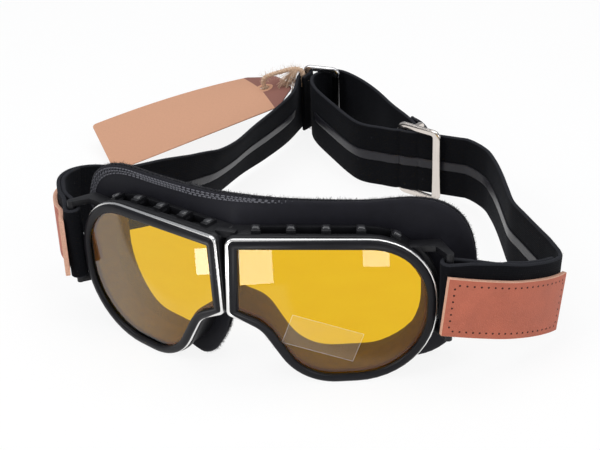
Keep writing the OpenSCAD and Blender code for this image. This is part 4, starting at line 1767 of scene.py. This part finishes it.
    def grip(self, side: Side) -> Route:
        """The stretch that carries a silicone stripe.

        Args:
            side: The side of the goggles.

        Returns:
            Points of the route.
        """
        layer = self.front() if side is Side.RIGHT else self.outer(side)
        length = lengths(layer)[-1] - self.grip_to - self.grip_from
        count = int(length / self.grip_step)
        return [along_route(layer, self.grip_from + length * k / count) for k in range(count + 1)]


ROUTES = StrapRoutes()


@dataclass
class Strap:
    """The elastic strap, its silicone stripes and its leather patches."""

    width: float = STRAP_W
    thick: float = STRAP_T
    stripe_w: float = 4.5
    stripe_t: float = 0.5
    patch_l: float = PATCH_L
    patch_h: float = PATCH_H
    patch_t: float = 2.0
    patch_low: float = 0.8
    patch_gap: float = 0.25
    patch_lead: float = 5.0
    patch_steps: int = 46
    face_turn: float = 0.75
    jag: float = 0.28
    jag_spread: float = 0.12
    jag_edge: float = 0.5
    nap_count: float = 5.0
    nap_top: float = 0.6
    nap_in: float = 0.05
    nap_off: float = 0.8
    patch_slope: dict[Side, Point] = field(
        default_factory=lambda: {Side.RIGHT: (7.0, 16.0), Side.LEFT: (6.0, 6.0)})
    patch_fall: dict[Side, float] = field(default_factory=lambda: {Side.RIGHT: 17.5, Side.LEFT: 6.0})

    def elastic(self, name: str, route: Route, body: str = "goggles") -> bpy.types.Object:
        """One stretch of elastic, which stands for its strap in the CAD."""
        bm = band(route, flat_profile(0.0, self.width, self.thick, 0.0, 0.7))
        return add_piece(f"elastic_{name}", bm, [ELASTIC], [f"strap_{name}"], 60.0, body)

    def build(self) -> None:
        """Make the three stretches of elastic, the stripes and the patches."""
        self.elastic("left", ROUTES.left())
        self.elastic("right", ROUTES.right())
        self.build_return()
        for side in Side:
            self.build_stripe(side)
            self.build_patch(side)
        self.build_nap()

    def build_return(self) -> None:
        """The return layer that loops round the slider's centre bar, left on no body."""
        piece = self.elastic("return", ROUTES.back(), "")
        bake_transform(piece)

    def build_stripe(self, side: Side) -> None:
        """A silicone stripe with an uneven edge on the head side.

        Args:
            side: The side of the goggles.
        """
        shift = -side.value * (self.thick / 2 + self.stripe_t / 2 - 0.05)
        low, high = (self.width - self.stripe_w) / 2, (self.width + self.stripe_w) / 2
        dice = random.Random(5 + side.value)
        stations = survey_band(ROUTES.grip(side))
        base = flat_profile(low, high, self.stripe_t, shift, 0.2, 4)
        sections = []
        for i, s in enumerate(stations):
            jag = self.jag * (1 if i % 2 else -1) + dice.uniform(-self.jag_spread, self.jag_spread)
            row = []
            for h, off in base:
                grow = jag * ((h > high - self.jag_edge) - (h < low + self.jag_edge))
                row.append((s.foot + s.out * off + s.up * (h + grow)) * MM)
            sections.append(row)
        bm = skin(sections, False, [s.at for s in stations], [h for h, _ in base])
        add_piece(f"grip_line_{side.word}", bm, [GRIP], [f"grip_stripe_{side.word}"], 60.0)

    def build_patch(self, side: Side) -> None:
        """A leather patch on the outside of the sewn end.

        Args:
            side: The side of the goggles.
        """
        outer = ROUTES.outer(side)
        run = Vector((outer[1][0] - outer[0][0], outer[1][1] - outer[0][1])).normalized()
        first, last = self.patch_slope[side]
        fall = math.tan(math.radians(self.patch_fall[side]))
        middle = self.patch_l / 2 - self.patch_lead
        level = along_route(outer, middle)[2]
        route, slopes = [], []
        for share in (k / self.patch_steps for k in range(self.patch_steps + 1)):
            way = self.patch_l * share - self.patch_lead
            spot, before = along_route(outer, max(way, 0.0)), min(way, 0.0)
            low = level - fall * (way - middle)
            route.append((spot[0] + run.x * before, spot[1] + run.y * before, low, 0.0))
            slopes.append(first + (last - first) * share)
        under = self.thick / 2 + self.patch_gap
        profile = flat_profile(self.patch_low, self.patch_low + self.patch_h, self.patch_t,
                               side.value * (under + self.patch_t / 2), 0.35, 14)
        bm = band(route, profile, side.value * (under + self.patch_t), self.patch_l, slopes)
        layer = bm.loops.layers.uv.active
        stations = survey_band(route, slopes)
        for face in bm.faces:
            middle = face.calc_center_median() / MM
            near = min(stations, key=lambda s: (s.foot - middle).length_squared)
            if face.normal.dot(near.out) * side.value < self.face_turn:
                face.material_index = 1
            for loop in face.loops:
                loop[layer].uv.y -= self.patch_low * MM
        add_piece(f"patch_{side.word}", bm, [TAN, RAW], [f"leather_patch_{side.word}"], 50.0)

    def build_nap(self) -> None:
        """Lint and nap along the edges of the elastic."""
        dice = random.Random(21)
        roots = []
        for route in (ROUTES.left(), ROUTES.right()):
            stations = survey_band(route)
            for a, b in zip(stations, stations[1:]):
                for _ in range(max(1, int((b.at - a.at) * self.nap_count))):
                    t, top = dice.random(), dice.random() < self.nap_top
                    foot = a.foot.lerp(b.foot, t)
                    h = self.width - self.nap_in if top else self.nap_in
                    root = foot + a.up * h + a.out * dice.uniform(-self.nap_off, self.nap_off)
                    if not ROUTES.on_run(foot):
                        roots.append((root * MM, a.up if top else -a.up))
        add_piece("elastic_nap", hairs(roots, (0.25, 0.6), 0.05, 22, 0.7), [ELASTIC])


@dataclass
class Buckles:
    """The slider and the ring, bent from flat polished wire."""

    rail_w: float = 1.6
    bar_w: float = 2.3
    half_t: float = 1.0
    low: float = 1.6
    high: float = 36.9
    corner: float = 3.2
    square: float = 0.6
    slider_bars: Profile = ((-11.0, -3.5), (0.0, 4.7), (9.2, 2.5))
    ring_bars: Profile = (ROUTES.ring_left, (-36.5, 245.5))

    def rounded(self, points: Sequence[Vector]) -> list[Vector]:
        """A closed path with its corners rounded, which starts and ends in the middle of a side.

        Args:
            points: Corners of the path.

        Returns:
            Points along the path.
        """
        start = (points[0] + points[-1]) / 2
        path = [start]
        count = len(points)
        for i, here in enumerate(points):
            come, go = points[i - 1] - here, points[(i + 1) % count] - here
            reach = min(self.corner, come.length * 0.45, go.length * 0.45)
            a, b = here + come.normalized() * reach, here + go.normalized() * reach
            path += [pulled(a, here, b, k / 8) for k in range(9)]
        return path + [start]

    def wire(self, path: Sequence[Vector], normal: Vector) -> BMesh:
        """Flat wire along a path.

        Args:
            path: Middle of the wire in millimetres.
            normal: The way that its flat side faces.

        Returns:
            The wire.
        """
        sections = []
        for i, here in enumerate(path):
            run = heading(path, i)
            side = run.cross(normal).normalized()
            face = side.cross(run)
            half_w = self.rail_w + (self.bar_w - self.rail_w) * abs(run.z)
            ring = []
            for a in around(16):
                x, y = (math.copysign(abs(c) ** self.square, c) for c in (math.cos(a), math.sin(a)))
                ring.append((here + side * x * half_w + face * y * self.half_t) * MM)
            sections.append(ring)
        return skin(sections)

    def frame_of(self, bars: Sequence[Vector]) -> BMesh:
        """A closed wire frame from the first bar to the last, with the other bars joined to it.

        Args:
            bars: Feet of the bars.

        Returns:
            The frame in one shape.
        """
        up, down = UP * self.high, UP * self.low
        first, last = bars[0], bars[-1]
        run = (last - first).normalized()
        normal = Vector((run.y, -run.x, 0.0))
        parts = [self.wire(self.rounded([first + up, last + up, last + down, first + down]), normal)]
        for bar in bars[1:-1]:
            root = first + run * (bar - first).dot(run)
            loop = self.rounded([root + up, bar + up, bar + down, root + down])
            parts.append(self.wire(loop[5:-5], run))
        return merge(parts)

    def build(self) -> None:
        """Make both frames."""
        start, end = Vector(ROUTES.run_start), Vector(ROUTES.run_end)
        run = (end - start).normalized()
        side = Vector((run.y, -run.x))
        bars = [((start + end) / 2 + run * x + side * y).to_3d() for x, y in self.slider_bars]
        add_piece("slider_frame", self.frame_of(bars), [BUCKLE], ["strap_slider"], 70.0, "slider")
        ring = [Vector(p).to_3d() for p in self.ring_bars]
        add_piece("ring_frame", self.frame_of(ring), [STEEL], ["strap_ring"], 70.0, "ring")


@dataclass
class HangTag:
    """The kraft card and the jute twine that it hangs on."""

    length: float = TAG_L
    width: float = TAG_W
    thick: float = 0.6
    hole_r: float = 2.5
    hole_in: float = TAG_HOLE
    cut: float = 12.0
    corner: float = 2.5
    cuts: tuple[int, int] = (35, 12)
    at: Place = (-75.5, 236.5, 28.0)
    turn: Place = (11.2, -12.7, 39.3)
    twine_d: float = 2.1
    lay: float = 3.2
    strand_off: float = 0.6
    strand_r: float = 0.78
    knot_turns: Profile = ((2.0, -1.0), (2.5, -1.7), (1.9, -2.4))
    knot_r: float = 0.62
    knot_wave: float = 0.25
    tassel_top: Place = (-57.4, 239.4, 37.4)
    tassel_count: int = 90
    tassel_l: Point = (4.0, 15.0)
    tassel_r: Point = (0.08, 0.22)
    droop: float = 9.0
    bow_share: float = 0.98
    bow_power: float = 2.2
    bow_side: float = 0.15
    slip: float = 4.2
    route: tuple[Place, ...] = (
        (-75.4, 237.4, 25), (-75.5, 236.5, 28), (-75.6, 235.6, 30.5), (-74.2, 235.6, 33),
        (-70.5, 236.6, 34.8), (-65.5, 238, 36.3), (-61, 239.3, 37.6), (-57.6, 240.2, 37.9),
        (-55.3, 240.4, 37.4), (-54, 240.5, 35.9), (-53.95, 240.5, 33), (-53.95, 240.5, 28))

    def stand(self) -> Matrix:
        """Place of the card in the frame, in millimetres.

        Returns:
            The card's matrix.
        """
        x, y, z = (math.radians(a) for a in self.turn)
        return (Matrix.Translation(self.at) @ Matrix.Rotation(z, 4, "Z") @ Matrix.Rotation(y, 4, "Y")
                @ Matrix.Rotation(x, 4, "X"))

    def outline(self) -> list[Vector]:
        """Outline of the card from its hole, with two rounded and two cut corners.

        Returns:
            Points in millimetres.
        """
        end, half = self.hole_in, self.width / 2
        x = end - self.length + self.corner
        points = []
        for y, start in ((half - self.corner, 90), (self.corner - half, 180)):
            points += [Vector(p[:2]).to_3d() for p in arc((x, y), self.corner, start, start + 90, 0.0, 6)]
        points += [Vector((end - self.cut, -half, 0)), Vector((end, self.cut - half, 0)),
                   Vector((end, half - self.cut, 0)), Vector((end - self.cut, half, 0))]
        return points

    def bow(self, p: Vector) -> Vector:
        """Bend and twist of the card, which hangs by its hole.

        Args:
            p: A point of the flat card.

        Returns:
            The same point of the bowed card.
        """
        near = max(0.0, 1.0 + (p.x - self.hole_in) / self.length)
        share = min(1.0, near / self.bow_share) ** self.bow_power
        drop = self.droop * (p.y / self.width + 0.5) ** 2 * share
        slip = self.slip * max(0.0, 2.0 * p.y / self.width) * share
        return Vector((p.x - slip, p.y - self.bow_side * drop, p.z - drop))

    def sink(self) -> float:
        """How far the hole hangs below the flat card."""
        return -self.bow(Vector((0.0, 0.0, 0.0))).z

    def card(self) -> BMesh:
        """The card as a thin bowed sheet.

        Returns:
            The sheet.
        """
        bm = bmesh.new()
        hole = [Vector((math.cos(a), math.sin(a), 0.0)) * self.hole_r for a in around(24)]
        edges = []
        for ring in (self.outline(), hole):
            verts = [bm.verts.new(p) for p in ring]
            edges += [bm.edges.new((verts[k - 1], verts[k])) for k in range(len(verts))]
        bmesh.ops.triangle_fill(bm, use_beauty=True, edges=edges, normal=UP)
        rows, lanes = self.cuts
        planes = [((self.hole_in - self.length * k / rows, 0, 0), (1, 0, 0)) for k in range(1, rows)]
        planes += [((0, self.width * (k / lanes - 0.5), 0), (0, 1, 0)) for k in range(1, lanes)]
        for spot, normal in planes:
            bmesh.ops.bisect_plane(bm, geom=bm.verts[:] + bm.edges[:] + bm.faces[:], dist=1e-5,
                                   plane_co=spot, plane_no=normal)
        map_loops(bm, lambda v: (v.co.x - self.hole_in + self.length, v.co.y + self.width / 2))
        outward(bm)
        bmesh.ops.solidify(bm, geom=bm.faces[:], thickness=self.thick)
        stand = self.stand()
        for v in bm.verts:
            v.co = (stand @ self.bow(v.co + UP * self.thick / 2)) * MM
        return outward(bm)

    def path(self, steps: int = 8) -> list[Vector]:
        """The twine's smooth route in metres.

        Args:
            steps: Steps between two knots.

        Returns:
            Points from the card to the strap.
        """
        knots = [Vector(p) for p in self.route]
        axis = self.stand().to_3x3() @ UP
        knots[0] -= axis * self.sink()
        knots[1] -= axis * self.sink() * 0.5
        q = [knots[0] * 2 - knots[1], *knots, knots[-1] * 2 - knots[-2]]
        points = [spline(*q[i:i + 4], k / steps) * MM for i in range(len(knots) - 1) for k in range(steps)]
        return points + [knots[-1] * MM]

    def twine(self) -> BMesh:
        """Two strands twisted round the route.

        Returns:
            The strands in one shape.
        """
        path = self.path()
        frames = tube(path, 1.0, 4)
        strands = []
        for phase in (0.0, math.pi):
            run = 0.0
            points = []
            for i, (here, ring) in enumerate(zip(path, frames)):
                run += (here - path[i - 1]).length / MM if i else 0.0
                a = phase + run * 2 * math.pi / self.lay
                side, up = ring[0] - here, ring[1] - here
                points.append(here + (side * math.cos(a) + up * math.sin(a)) * self.strand_off * MM)
            strands.append(skin(tube(points, self.strand_r * MM, 8)))
        return merge(strands)

    def knot(self) -> BMesh:
        """Three wound turns under the card that keep the twine in its hole.

        Returns:
            The turns in one shape.
        """
        stand = self.stand()
        turns = []
        for k, (radius, low) in enumerate(self.knot_turns):
            ring = []
            for a in around(24):
                z = low - self.sink() + self.knot_wave * math.sin(2 * a + k)
                ring.append(stand @ Vector((radius * math.cos(a), radius * math.sin(a), z)) * MM)
            turns.append(skin(tube(ring + [ring[0]], self.knot_r * MM, 7)[:-1], ring=True))
        return merge(turns)

    def fluff(self) -> BMesh:
        """Loose jute fibres along the twine.

        Returns:
            The fibres in one shape.
        """
        dice = random.Random(31)
        path = self.path()
        roots = []
        for here, ahead in zip(path[14:-8], path[15:-7]):
            run = (ahead - here).normalized()
            for _ in range(6):
                side = run.orthogonal()
                side.rotate(Matrix.Rotation(dice.uniform(0, 2 * math.pi), 3, run))
                way = (side + run * dice.uniform(-1, 1)).normalized()
                roots.append((here + side * self.strand_off * MM, way))
        return hairs(roots, (1.2, 4.5), 0.11, 32, 0.35)

    def tassel(self) -> BMesh:
        """Frayed ends of the twine that hang down the strap from its knot.

        Returns:
            The strands in one shape.
        """
        dice = random.Random(41)
        top = Vector(self.tassel_top)
        strands = []
        for k in range(self.tassel_count):
            reach = dice.uniform(*self.tassel_l)
            drift = Vector((dice.uniform(-11.0, -1.2), dice.uniform(-4.0, -0.4), 0.0))
            start = top + Vector((dice.uniform(-1.4, 1.4), dice.uniform(-0.6, 0.4), dice.uniform(-0.3, 0.3)))
            points = []
            for j in range(7):
                t = j / 6
                sag = Vector((0, 0, -reach * t ** 1.25))
                wave = Vector((math.sin(3 * t + k), math.cos(2.5 * t + k), 0)) * 0.4 * t
                points.append((start + drift * t + sag + wave) * MM)
            strands.append(skin(tube(points, dice.uniform(*self.tassel_r) * MM, 4)))
        return merge(strands)

    def build(self) -> None:
        """Make the twine first, then what hangs on it."""
        twine = add_piece("tag_twine", self.twine(), [JUTE], ["tag_string"], 80.0)
        knot = add_piece("tag_knot", self.knot(), [JUTE], (), 80.0)
        fluff = add_piece("tag_fluff", self.fluff(), [JUTE])
        tassel = add_piece("tag_tassel", self.tassel(), [JUTE])
        add_piece("tag_card", self.card(), [KRAFT], ["hang_tag"], 40.0, "tag")
        route = self.path()[::-1]
        length = sum((b - a).length for a, b in zip(route, route[1:]))
        tuple(route[0])
        [tuple(p) for p in route]


@dataclass
class Studio:
    """Camera, light and floor."""

    eye: Place = (179.56, -384.68, 295.52)
    right: Place = (0.9402, 0.3385, -0.0361)
    up: Place = (-0.1288, 0.4518, 0.8828)
    back: Place = (0.3152, -0.8254, 0.4684)
    focal: float = 78.0
    glint_reach: float = 0.06
    glint_level: float = 11.0
    glint_depth: float = 1.5
    centre: Place = (0.0, 0.06, 0.03)
    sky: Colour = (0.92, 0.95, 1.0)
    sky_level: float = 0.4

    def build_camera(self) -> None:
        """Put the camera where the photograph was taken from."""
        data = bpy.data.cameras.new("camera")
        data.sensor_fit = "HORIZONTAL"
        data.sensor_width = 36.0
        data.lens = self.focal
        data.clip_start = 0.01
        camera = add_object("camera", data)
        turn = Matrix((self.right, self.up, self.back)).transposed()
        camera.matrix_world = Matrix.Translation(Vector(self.eye) * MM) @ turn.to_4x4()
        bpy.context.scene.camera = camera

    def add_lamp(self, name: str, place: Place, aim: Place, size: Point, power: float) -> None:
        """Add one soft box.

        Args:
            name: Name of the lamp.
            place: Its place in metres.
            aim: The point that it faces.
            size: Its width and height in metres.
            power: Its power in watts.
        """
        data = bpy.data.lights.new(name, "AREA")
        data.shape = "RECTANGLE"
        data.size, data.size_y = size
        data.energy = power
        lamp = add_object(name, data)
        lamp.visible_camera = lamp.visible_transmission = False
        lamp.location = place
        lamp.rotation_euler = (Vector(aim) - Vector(place)).to_track_quat("-Z", "Y").to_euler()

    def build_world(self) -> None:
        """A plain pale surround that is white to the camera and through glass."""
        world = bpy.data.worlds.new("surround")
        tree = Tree(world)
        path = tree.node("ShaderNodeLightPath")
        seen = path.most(path.other("Is Transmission Ray"))
        light = tree.node("ShaderNodeBackground", {}, {"Color": self.sky, "Strength": self.sky_level})
        white = tree.node("ShaderNodeBackground", {}, {"Color": WHITE, "Strength": 1.0})
        tree.close(tree.node("ShaderNodeMixShader", {}, {0: seen, 1: light, 2: white}),
                   "ShaderNodeOutputWorld")
        bpy.context.scene.world = world

    def build_floor(self) -> None:
        """A plain pale floor under the goggles."""
        bm = bmesh.new()
        bmesh.ops.create_grid(bm, x_segments=4, y_segments=4, size=3.0)
        mesh = bpy.data.meshes.new("floor")
        bm.to_mesh(mesh)
        bm.free()
        mesh.materials.append(FLOOR.material())
        add_object("floor", mesh)

    def add_glint(self, name: str, side: Side, spot: Point, size: Point) -> None:
        """Add a small soft box whose mirror image shows on a lens.

        Args:
            name: Name of the lamp.
            side: The lens.
            spot: Middle of the mirror image along and up the lens, in millimetres.
            size: Width and height of the image in millimetres.
        """
        place = OUTLINE.place(*spot, self.glint_depth, side)
        face = Vector((side.value * math.sin(OUTLINE.wrap), -math.cos(OUTLINE.wrap), 0.0))
        sight = place - Vector(self.eye) * MM
        at = place + sight.normalized().reflect(face) * self.glint_reach
        grow = (1.0 + self.glint_reach / sight.length) * MM
        width, height = size[0] * grow, size[1] * grow
        self.add_lamp(name, tuple(at), tuple(place), (width, height),
                      self.glint_level * math.pi * width * height)

    def build_light(self) -> None:
        """Two soft boxes, a top light and three small boxes that glint on the lenses."""
        self.add_glint("glint_nose", Side.RIGHT, (11.7, 54.0), (12.6, 14.0))
        self.add_glint("glint_temple", Side.RIGHT, (57.0, 54.6), (10.0, 6.2))
        self.add_glint("glint_left", Side.LEFT, (6.5, 54.0), (8.5, 10.0))
        self.add_lamp("key", (-0.55, -0.55, 0.75), self.centre, (0.6, 0.6), 4.6)
        self.add_lamp("fill", (0.75, -0.35, 0.55), self.centre, (0.5, 0.5), 2.6)
        self.add_lamp("top", (0.0, 0.25, 0.95), (0.0, 0.1, 0.0), (0.9, 0.7), 4.6)


def main() -> None:
    """Build the goggles in order and report each piece."""
    logging.basicConfig(level=logging.INFO, format="%(message)s")
    bpy.context.scene.view_settings.view_transform = "Standard"
    studio = Studio()
    studio.build_camera()
    HangTag().build()
    for side in Side:
        LensFrame(side).build()
    RubberBody().build()
    FacePad().build()
    Strap().build()
    Buckles().build()
    studio.build_world()
    studio.build_floor()
    studio.build_light()


if __name__ == "__main__":
    main()
